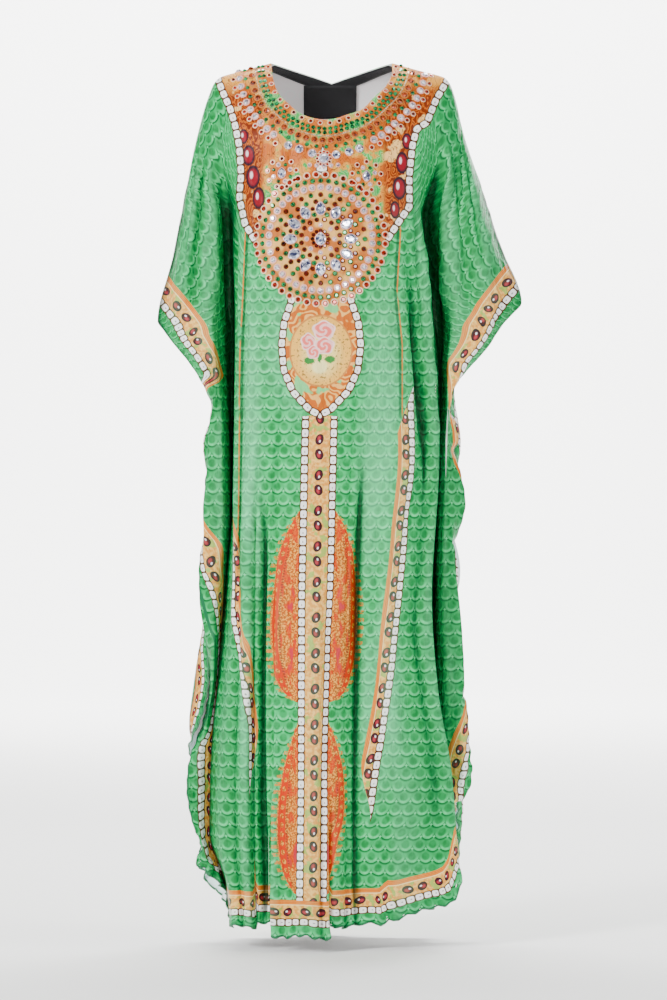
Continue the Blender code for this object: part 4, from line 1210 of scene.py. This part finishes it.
reverse = reverseSatin()
cloths = {}
for name, cloth, node in (("front", front, "front_panel"), ("back", back, "back_panel")):
    cloth.makeGrid()
    isFront = name == "front"
    item = cloth.build(name, sceneMaps(cloth, isFront), printedSatin(name + "Print", isFront), reverse)
    declare(item, "satin", node)
    cloths[name] = item
    print("stage:", name, len(item.data.polygons))


def tube(name, path, radius, sides, finish):
    # A thin tube along points in metres
    path = np.array(path)
    run = unit(np.gradient(path, axis=0))
    aside = unit(np.cross(run, np.array([0.13, 0.9, 0.31])))
    over = np.cross(run, aside)
    angles = np.arange(sides) * 2 * math.pi / sides
    rings = path[:, None] + radius * (aside[:, None] * np.cos(angles)[None, :, None]
                                      + over[:, None] * np.sin(angles)[None, :, None])
    count = len(path)
    vertices = rings.reshape(-1, 3)
    faces = []
    for i in range(count - 1):
        for j in range(sides):
            k = (j + 1) % sides
            faces.append((i * sides + j, i * sides + k, (i + 1) * sides + k, (i + 1) * sides + j))
    faces.append(tuple(range(sides - 1, -1, -1)))
    faces.append(tuple((count - 1) * sides + j for j in range(sides)))
    mesh = bpy.data.meshes.new(name)
    mesh.from_pydata(vertices.tolist(), [], faces)
    mesh.shade_smooth()
    mesh.materials.append(finish)
    return newObject(name, mesh)


threadPaint = plainPaint("edgeThread", (0.012, 0.17, 0.06), Roughness=0.55, Sheen_Weight=0.3)
for name, cloth in (("front", front), ("back", back)):
    grid = cloth.grid
    tips = [int(np.searchsorted(cloth.drops[:, k], armLine[side][-1][0]))
            for side, k in (("left", 0), ("right", -1))]
    path = np.concatenate([grid[tips[0]:, 0], grid[-1, 1:-1], grid[tips[1]:, -1][::-1]])
    steps = np.concatenate([[0.0], np.cumsum(np.linalg.norm(np.diff(path, axis=0), axis=1))])
    fine = np.arange(0.0, steps[-1], 2.5)
    path = np.stack([np.interp(fine, steps, path[:, k]) for k in range(3)], axis=-1)
    edge = tube(name + "RolledEdge", path * mm, 1.3 * mm, 6, threadPaint)
    declare(edge, "satin")
print("stage: rolled edges")


def fabricPaint(name, colour, pitch, shine):
    paint = Paint(name, Roughness=shine, Sheen_Weight=0.25, Sheen_Roughness=0.4, Specular_IOR_Level=0.3)
    u, v = paint.pair("cloth")
    threads = paint.math("SINE", u * (2 * math.pi / pitch)) * paint.math("SINE", v * (2 * math.pi / pitch))
    paint.put("Base Color", paint.colour(paint.rise(threads, -1.0, 1.0), tuple(c * 0.7 for c in colour),
                                         tuple(c * 1.35 for c in colour)))
    paint.bump(threads, 0.0002, 0.5)
    return paint.material


def thinPlate(name, inner, outer, finish):
    # A thin closed plate between two like grids of points in metres, with a map in metres
    rows, columns = inner.shape[:2]
    count = rows * columns
    index = np.arange(count).reshape(rows, columns)
    quads = np.stack([index[:-1, :-1], index[:-1, 1:], index[1:, 1:], index[1:, :-1]], axis=-1)
    quads = quads.reshape(-1, 4)
    rim = rimOf(index)
    sides = np.stack([rim, rim + count, np.roll(rim, -1) + count, np.roll(rim, -1)], axis=-1)
    faces = np.concatenate([quads, quads[:, ::-1] + count, sides])
    mesh = bpy.data.meshes.new(name)
    places = np.concatenate([inner.reshape(-1, 3), outer.reshape(-1, 3)])
    mesh.from_pydata(places.tolist(), [], faces.tolist())
    across = np.cumsum(np.linalg.norm(np.diff(inner, axis=1, prepend=inner[:, :1]), axis=2), axis=1)
    down = np.cumsum(np.linalg.norm(np.diff(inner, axis=0, prepend=inner[:1]), axis=2), axis=0)
    pair = np.stack([across, down], axis=-1).reshape(-1, 2)
    layer = mesh.uv_layers.new(name="cloth")
    layer.data.foreach_set("uv", np.concatenate([pair, pair])[faces.ravel()].ravel())
    mesh.materials.append(finish)
    return newObject(name, mesh)


tapeValues = {"width": 19.0, "thick": 1.0, "across": 0.72, "lift": 0.7, "colour": (0.012, 0.012, 0.014),
              "rows": 6, "top": 0.3}


def buildTape():
    keep = np.abs(back.columns) <= tapeValues["across"]
    grid = back.grid[:, keep]
    inward = -back.normals(back.grid)[:, keep]
    down = np.concatenate([np.zeros((1, grid.shape[1])),
                           np.cumsum(np.linalg.norm(np.diff(grid, axis=0), axis=2), axis=0)])
    lines, lifts = [], []
    for reach in np.linspace(tapeValues["top"], tapeValues["width"], tapeValues["rows"]):
        for table, found in ((grid, lines), (inward, lifts)):
            found.append([[np.interp(reach, down[:, j], table[:, j, k]) for k in range(3)]
                          for j in range(grid.shape[1])])
    lines, lifts = np.array(lines), unit(np.array(lifts))
    inner = (lines + lifts * tapeValues["lift"]) * mm
    outer = (lines + lifts * (tapeValues["lift"] + tapeValues["thick"])) * mm
    item = thinPlate("neckTape", inner, outer, fabricPaint("tapeCloth", tapeValues["colour"], 0.9, 0.75))
    item.data.shade_smooth()
    declare(item, "black_tape", "neck_facing")


labelValues = {"width": 84.0, "height": 50.0, "x": -1.5, "drop": 54.0, "lift": 2.6, "thick": 0.8,
               "colour": (0.010, 0.010, 0.012), "rows": 13, "columns": 22}


def treeOf(item):
    return BVHTree.FromObject(item, bpy.context.evaluated_depsgraph_get())


def buildLabel():
    tree = treeOf(cloths["back"])
    values = labelValues
    rowCount, columnCount = values["rows"], values["columns"]
    inner = np.zeros((rowCount, columnCount, 3))
    outer = np.zeros((rowCount, columnCount, 3))
    for i in range(rowCount):
        for j in range(columnCount):
            x = values["x"] + values["width"] * (j / (columnCount - 1) - 0.5)
            z = -(values["drop"] + values["height"] * (i / (rowCount - 1) - 0.5))
            hit, normal, _, _ = tree.ray_cast(Vector((x, 0.0, z)) * mm, Vector((0.0, 1.0, 0.0)))
            slope = max(abs(normal.y), 0.3)
            inner[i, j] = hit - Vector((0.0, values["lift"] / slope * mm, 0.0))
            outer[i, j] = hit - Vector((0.0, (values["lift"] / slope + values["thick"]) * mm, 0.0))
    item = thinPlate("neckLabel", inner, outer, fabricPaint("labelCloth", values["colour"], 0.6, 0.5))
    item.data.shade_smooth()
    declare(item, "label", "neck_label")


bpy.context.view_layer.update()
buildTape()
buildLabel()
print("stage: tape and label")

frontTree = treeOf(cloths["front"])


def seat(x, drop):
    # Where a stone sits on the front's outer face, and the way out of the cloth there
    hit, normal, _, _ = frontTree.ray_cast(Vector((x * mm, -0.4, -drop * mm)), Vector((0.0, 1.0, 0.0)))
    if hit is None:
        return None
    total = Vector(normal)
    for dx, dz in ((4, 0), (-4, 0), (0, 4), (0, -4)):
        other = frontTree.ray_cast(Vector(((x + dx) * mm, -0.4, (-drop + dz) * mm)), Vector((0.0, 1.0, 0.0)))
        if other[0] is not None:
            total += other[1]
    return hit, total.normalized()


def frameAt(normal):
    across = Vector((1.0, 0.0, 0.0))
    across = (across - normal * across.dot(normal)).normalized()
    up = across.cross(normal)
    return across, up * -1 if up.z < 0 else up


# Large stones. The levels are rings from the foot up: share of the outline, share of the height; the lowest
# three make the pale rim, and the places of the turned ring lie half a side on
stoneValues = {
    "sides": 20, "height": 4.2, "fullWidth": 12.0, "lift": 0.15, "rimLevels": 3, "turnedLevel": 4,
    "levels": ((1.10, 0.0), (1.10, 0.28), (1.0, 0.34), (0.98, 0.42), (0.78, 0.74), (0.50, 1.0)),
}


def outline(width, height, pointed, count):
    places = []
    for k in range(count):
        angle = 2 * math.pi * k / count
        narrow = 1.0 - 0.50 * max(0.0, math.cos(angle)) ** 2.2 if pointed else 1.0
        places.append((width / 2 * math.sin(angle) * narrow, height / 2 * math.cos(angle)))
    return places


def addStone(vertices, faces, slots, x, drop, width, height, turn, pointed):
    found = seat(x, drop)
    if found is None:
        return
    hit, normal = found
    across, up = frameAt(normal)
    values = stoneValues
    count, levels = values["sides"], values["levels"]
    tall = values["height"] * min(1.0, width / values["fullWidth"])
    start = len(vertices)
    for ring, (share, level) in enumerate(levels):
        places = outline(width, height, pointed, count)
        if ring == values["turnedLevel"]:
            places = outline(width, height, pointed, count * 2)[1::2]
        for a, b in places:
            placeX = (a * math.cos(turn) + b * math.sin(turn)) * share
            placeZ = (b * math.cos(turn) - a * math.sin(turn)) * share
            place = hit + (across * placeX + up * placeZ + normal * (level * tall + values["lift"])) * mm
            vertices.append(tuple(place))
    rings = len(levels)
    for ring in range(rings - 1):
        for k in range(count):
            n = (k + 1) % count
            low, high = start + ring * count, start + (ring + 1) * count
            if ring < values["rimLevels"]:
                faces.append((low + k, low + n, high + n, high + k))
                slots.append(1)
            elif ring == values["rimLevels"]:
                faces += [(low + k, low + n, high + k), (low + n, high + n, high + k)]
                slots += [0, 0]
            else:
                faces += [(low + k, low + n, high + n), (low + k, high + n, high + k)]
                slots += [0, 0]
    top = start + (rings - 1) * count
    faces.append(tuple(top + k for k in range(count)))
    slots.append(0)
    faces.append(tuple(start + k for k in range(count - 1, -1, -1)))
    slots.append(1)


def foilAndGlintPaint(name, dark, light, cell, **fixed):
    # Foil behind a cut stone, in the stone's own colour, with painted reflections: small facets, each painted
    # a brightness of its own
    paint = Paint(name, **fixed)
    at = paint.node("ShaderNodeTexCoord", output=3)
    cells = paint.node("ShaderNodeTexVoronoi", values={"Vector": at, "Scale": 1.0 / (cell * mm)}, output=1)
    split = paint.node("ShaderNodeSeparateXYZ", values={0: cells})
    paint.put("Base Color", paint.colour(paint.rise(split, 0.15, 0.85), dark, light))
    return paint.material


# The large stones' foil, with painted reflections on its facets
clearFoil = foilAndGlintPaint("clearFoil", (0.05, 0.06, 0.15), (0.80, 0.82, 0.95), 3.4, Metallic=0.55, Roughness=0.12,
                      Coat_Weight=1.0)
paleRim = plainPaint("paleRim", (0.80, 0.40, 0.38), Metallic=0.2, Roughness=0.35)


def buildLargeStones():
    vertices, faces, slots, nodes = [], [], [], []
    for k in range(12):
        angle = 2 * math.pi * k / 12
        addStone(vertices, faces, slots, rosette["x"] + rosette["petals"] * math.sin(angle),
                 rosette["drop"] - rosette["petals"] * math.cos(angle), 15.0, 20.0, angle, True)
        nodes.append(f"stone_petal_{k + 1:02d}")
    for name, x, drop, width, height in (("centre", -16, 284, 16, 19), ("left", -76, 181, 12, 16),
                                         ("right", 55, 186, 12, 16)):
        addStone(vertices, faces, slots, x, drop, width, height, 0.0, True)
        nodes.append("stone_drop_" + name)
    for name, x, drop, width in (("top", -11, 159, 15), ("1", -66, 138, 12), ("2", -49, 144, 12),
                                 ("3", -29, 151, 12), ("4", 8, 153, 12), ("5", 28, 148.5, 12),
                                 ("6", 44, 143, 12)):
        addStone(vertices, faces, slots, x, drop, width, width, 0.0, False)
        nodes.append("stone_round_" + name)
    mesh = bpy.data.meshes.new("largeStones")
    mesh.from_pydata(vertices, [], faces)
    mesh.materials.append(clearFoil)
    mesh.materials.append(paleRim)
    mesh.polygons.foreach_set("material_index", slots)
    declare(newObject("largeStones", mesh), "clear_stone", *nodes)


buildLargeStones()
print("stage: large stones")

smallStones = {"red": [], "garnet": [], "green": [], "clear": [], "amber": [], "cord": []}
# The collar's outer rows leave the middle open
collarValues = {"middle": -12.0, "openHalf": 72.0, "top": 4.0}


def ring(colours, x, drop, radius, count, width, start=0.0):
    for k in range(count):
        angle = 2 * math.pi * (k + start) / count
        colour = colours[k % len(colours)]
        smallStones[colour].append((x + radius * math.sin(angle), drop - radius * math.cos(angle), width))


def collarRow(colour, away, pitch, width, outerOnly=False):
    line = np.array(frontNeck["left"] + frontNeck["right"][-2::-1], float)[:, ::-1]
    smooth = np.linspace(0, len(line) - 1, 200)
    line = np.stack([np.interp(smooth, np.arange(len(line)), line[:, k]) for k in range(2)], axis=-1)
    window = np.ones(15) / 15
    padded = np.pad(line, ((7, 7), (0, 0)), mode="reflect", reflect_type="odd")
    line = np.stack([np.convolve(padded[:, k], window, mode="valid") for k in range(2)], axis=-1)
    run = unit(np.gradient(line, axis=0))
    outwards = np.stack([-run[:, 1], run[:, 0]], axis=-1)
    row = line + outwards * away
    walked = np.concatenate([[0.0], np.cumsum(np.linalg.norm(np.diff(row, axis=0), axis=1))])
    count = int(walked[-1] // pitch)
    for at in (np.arange(count) + 0.5) * walked[-1] / count:
        x, drop = np.interp(at, walked, row[:, 0]), np.interp(at, walked, row[:, 1])
        shown = not outerOnly or abs(x - collarValues["middle"]) > collarValues["openHalf"]
        if shown and drop > collarValues["top"]:
            smallStones[colour].append((x, drop, width))


def placeSmallStones():
    x, drop = rosette["x"], rosette["drop"]
    ring(["garnet"], x, drop, 12.6, 12, 6.4)
    ring(["clear"], x, drop, 21.5, 8, 6.4)
    ring(["garnet"], x, drop, 30.0, 16, 8.0, 0.5)
    ring(["garnet"], x, drop, 48.0, 12, 7.2, 0.5)
    ring(["green"], x, drop, 38.5, 12, 8.2, 0.5)
    ring(["green", "garnet"], x, drop, 58.0, 24, 8.4, 0.5)
    ring(["garnet", "green"], x, drop, 68.5, 28, 8.4)
    ring(["clear"], x, drop, 80.0, 38, 9.4)
    ring(["green"], x, drop, 90.5, 46, 8.4)
    ring(["red"], x, drop, 100.0, 44, 9.2, 0.5)
    for centreX, centreDrop in ((-76, 181), (55, 186)):
        ring(["green", "clear"], centreX, centreDrop, 14.0, 8, 6.2, 0.5)
        ring(["red"], centreX, centreDrop, 22.5, 9, 6.6)
    ring(["red"], -11, 159, 10.5, 12, 4.6)
    for k in range(5):
        bow = abs(k - 2) * 0.9
        smallStones["clear"].append((-33 + k * 11, 171 - bow, 6.0))
    collarRow("red", 5.5, 14.5, 6.6)
    collarRow("green", 14.0, 8.6, 7.2)
    collarRow("green", 20.5, 8.6, 7.2)
    collarRow("cord", 26.0, 3.0, 2.8)
    collarRow("amber", 33.0, 12.5, 10.6)
    collarRow("green", 43.0, 15.0, 7.2)
    collarRow("clear", 52.5, 13.5, 10.0, True)
    collarRow("red", 62.0, 14.0, 7.0, True)


placeSmallStones()
crystalValues = {"sides": 10, "table": 0.52, "height": 0.36}


def crystalTree(name):
    tree = bpy.data.node_groups.new(name, "GeometryNodeTree")
    face = tree.interface
    face.new_socket("Geometry", in_out="INPUT", socket_type="NodeSocketGeometry")
    sockets = {}
    for key, kind, value in (("Sides", "NodeSocketInt", crystalValues["sides"]),
                             ("Table", "NodeSocketFloat", crystalValues["table"]),
                             ("Height", "NodeSocketFloat", crystalValues["height"]),
                             ("Material", "NodeSocketMaterial", None)):
        socket = face.new_socket(key, in_out="INPUT", socket_type=kind)
        if value is not None:
            socket.default_value = value
        sockets[key] = socket.identifier
    face.new_socket("Geometry", in_out="OUTPUT", socket_type="NodeSocketGeometry")

    def add(kind, **settings):
        node = tree.nodes.new(kind)
        for key, value in settings.items():
            setattr(node, key, value)
        return node

    start, end = add("NodeGroupInput"), add("NodeGroupOutput")
    gem = add("GeometryNodeMeshCone")
    gem.inputs["Radius Bottom"].default_value = 0.5
    half = add("ShaderNodeMath", operation="MULTIPLY")
    half.inputs[1].default_value = 0.5
    size, turn = add("GeometryNodeInputNamedAttribute"), add("GeometryNodeInputNamedAttribute")
    size.data_type, turn.data_type = "FLOAT", "FLOAT_VECTOR"
    size.inputs["Name"].default_value = "stoneSize"
    turn.inputs["Name"].default_value = "stoneTurn"
    euler = add("FunctionNodeEulerToRotation")
    place = add("GeometryNodeInstanceOnPoints")
    real = add("GeometryNodeRealizeInstances")
    flat = add("GeometryNodeSetShadeSmooth")
    flat.inputs["Shade Smooth"].default_value = False
    paint = add("GeometryNodeSetMaterial")
    link = tree.links.new
    link(start.outputs["Sides"], gem.inputs["Vertices"])
    link(start.outputs["Table"], half.inputs[0])
    link(half.outputs[0], gem.inputs["Radius Top"])
    link(start.outputs["Height"], gem.inputs["Depth"])
    link(start.outputs["Geometry"], place.inputs["Points"])
    link(gem.outputs["Mesh"], place.inputs["Instance"])
    link(size.outputs["Attribute"], place.inputs["Scale"])
    link(turn.outputs["Attribute"], euler.inputs[0])
    link(euler.outputs[0], place.inputs["Rotation"])
    link(place.outputs["Instances"], real.inputs["Geometry"])
    link(real.outputs["Geometry"], flat.inputs[0])
    link(flat.outputs[0], paint.inputs["Geometry"])
    link(start.outputs["Material"], paint.inputs["Material"])
    link(paint.outputs["Geometry"], end.inputs[0])
    return tree, sockets


def buildCrystals(name, places, finish, tree, sockets, **shape):
    points, sizes, turns = [], [], []
    for number, (x, drop, width) in enumerate(places):
        found = seat(x, drop)
        if found is None:
            continue
        hit, normal = found
        spin = Matrix.Rotation(number * 2.4, 3, "Z")
        turn = (normal.to_track_quat("Z", "Y").to_matrix() @ spin).to_euler()
        points.append(hit + normal * 0.0001)
        sizes.append(width * mm)
        turns.append(turn)
    mesh = bpy.data.meshes.new(name + "Points")
    mesh.from_pydata([tuple(p) for p in points], [], [])
    mesh.attributes.new("stoneSize", "FLOAT", "POINT").data.foreach_set("value", sizes)
    layer = mesh.attributes.new("stoneTurn", "FLOAT_VECTOR", "POINT")
    layer.data.foreach_set("vector", np.array(turns).ravel())
    holder = newObject(name + "Points", mesh)
    modifier = holder.modifiers.new("crystals", "NODES")
    modifier.node_group = tree
    modifier[sockets["Material"]] = finish
    for key, value in shape.items():
        modifier[sockets[key]] = value
    bpy.context.view_layer.update()
    graph = bpy.context.evaluated_depsgraph_get()
    made = bpy.data.meshes.new_from_object(holder.evaluated_get(graph))
    made.name = name
    item = newObject(name, made)
    bpy.data.objects.remove(holder, do_unlink=True)
    declare(item, "clear_stone")
    print("stage:", name, len(points))


# Foil of the small stones with painted reflections: dark and light facets, and the printed setting round each
# with its size
foilAndGlints = {
    "red": ((0.03, 0.001, 0.001), (0.48, 0.022, 0.008), (0.86, 0.56, 0.36), 1.26),
    "garnet": ((0.008, 0.001, 0.001), (0.16, 0.010, 0.005), None, 0.0),
    "green": ((0.0002, 0.020, 0.006), (0.004, 0.34, 0.10), None, 0.0),
    "clear": ((0.20, 0.19, 0.26), (0.95, 0.92, 0.95), (0.80, 0.36, 0.30), 1.26),
    "amber": ((0.06, 0.005, 0.001), (0.56, 0.09, 0.02), (0.50, 0.17, 0.03), 1.20),
    "cord": ((0.40, 0.26, 0.10), (0.90, 0.80, 0.58), None, 0.0),
}
crystalNodes, crystalSockets = crystalTree("crystals")
for colour, places in smallStones.items():
    dark, light, setting, spread = foilAndGlints[colour]
    finish = foilAndGlintPaint(colour + "Foil", dark, light, 2.2, Metallic=0.4, Roughness=0.12, Coat_Weight=0.5)
    buildCrystals(colour + "Stones", places, finish, crystalNodes, crystalSockets)
    if setting:
        base = plainPaint(colour + "SettingPaint", setting, Metallic=0.15, Roughness=0.4)
        buildCrystals(colour + "Settings", [(x, drop, width * spread) for x, drop, width in places], base,
                      crystalNodes, crystalSockets, Sides=16, Table=0.92, Height=0.07)


def shoot():
    # The photograph's view: level, from 6 m in front, centred at half height
    camera = bpy.data.cameras.new("camera")
    camera.sensor_fit = "VERTICAL"
    camera.sensor_height = 36.0
    camera.sensor_width = 24.0
    away = 6.0
    camera.lens = 36.0 * away / (1000 * 1.575 * mm)
    holder = newObject("camera", camera)
    holder.location = (0.0039, -away, -0.687)
    holder.rotation_euler = (math.pi / 2, 0.0, 0.0)
    bpy.context.scene.camera = holder


# Name, place, what it points at, size, power
lamps = (
    ("key", (-2.7, -3.0, 1.3), (0.0, 0.0, -0.55), (0.9, 1.8), 240.0),
    ("front", (0.35, -5.2, 0.25), (0.0, 0.0, -0.7), (1.0, 1.0), 85.0),
    ("edge", (2.9, -0.9, 0.3), (0.0, 0.0, -0.7), (0.5, 1.8), 45.0),
    ("top", (0.0, -0.4, 2.0), (0.0, 0.0, -0.4), (1.6, 1.0), 30.0),
    ("floorLight", (0.0, 1.6, 2.6), (0.0, 3.4, -1.2), (4.0, 1.0), 420.0),
    ("backdropLight", (0.0, 5.5, 3.0), (0.0, 9.4, 0.2), (6.0, 1.2), 1500.0),
    ("back", (2.2, 3.6, 1.2), (0.0, 0.0, -0.6), (0.9, 1.6), 70.0),
)


def areaLight(name, place, target, size, power):
    lamp = bpy.data.lights.new(name, "AREA")
    lamp.shape = "RECTANGLE"
    lamp.size, lamp.size_y = size
    lamp.energy = power
    holder = newObject(name, lamp)
    holder.location = place
    holder.rotation_euler = (Vector(target) - Vector(place)).to_track_quat("-Z", "Y").to_euler()


def studio():
    # Pale floor that sweeps up into a backdrop, far enough behind for a camera to stand before it
    profile = [(-12.0, 0.0)] + [(8.0 + 1.4 * math.sin(a), 1.4 - 1.4 * math.cos(a))
                                for a in np.linspace(0.0, math.pi / 2, 13)] + [(9.4, 7.0)]
    level = -1.386
    vertices, faces = [], []
    for k, (y, z) in enumerate(profile):
        vertices += [(-12.0, y, z + level), (12.0, y, z + level)]
        if k:
            faces.append((2 * k - 2, 2 * k - 1, 2 * k + 1, 2 * k))
    mesh = bpy.data.meshes.new("sweep")
    mesh.from_pydata(vertices, [], faces)
    mesh.shade_smooth()
    mesh.materials.append(plainPaint("paleFloor", (0.93, 0.93, 0.92), Roughness=0.9, Specular_IOR_Level=0.1))
    newObject("sweep", mesh)
    world = bpy.data.worlds.new("studio")
    bpy.context.scene.world = world
    world.use_nodes = True
    world.node_tree.nodes["Background"].inputs["Color"].default_value = (1.0, 1.0, 1.0, 1.0)
    world.node_tree.nodes["Background"].inputs["Strength"].default_value = 0.15
    for row in lamps:
        areaLight(*row)


shoot()
studio()
print("stage: studio")
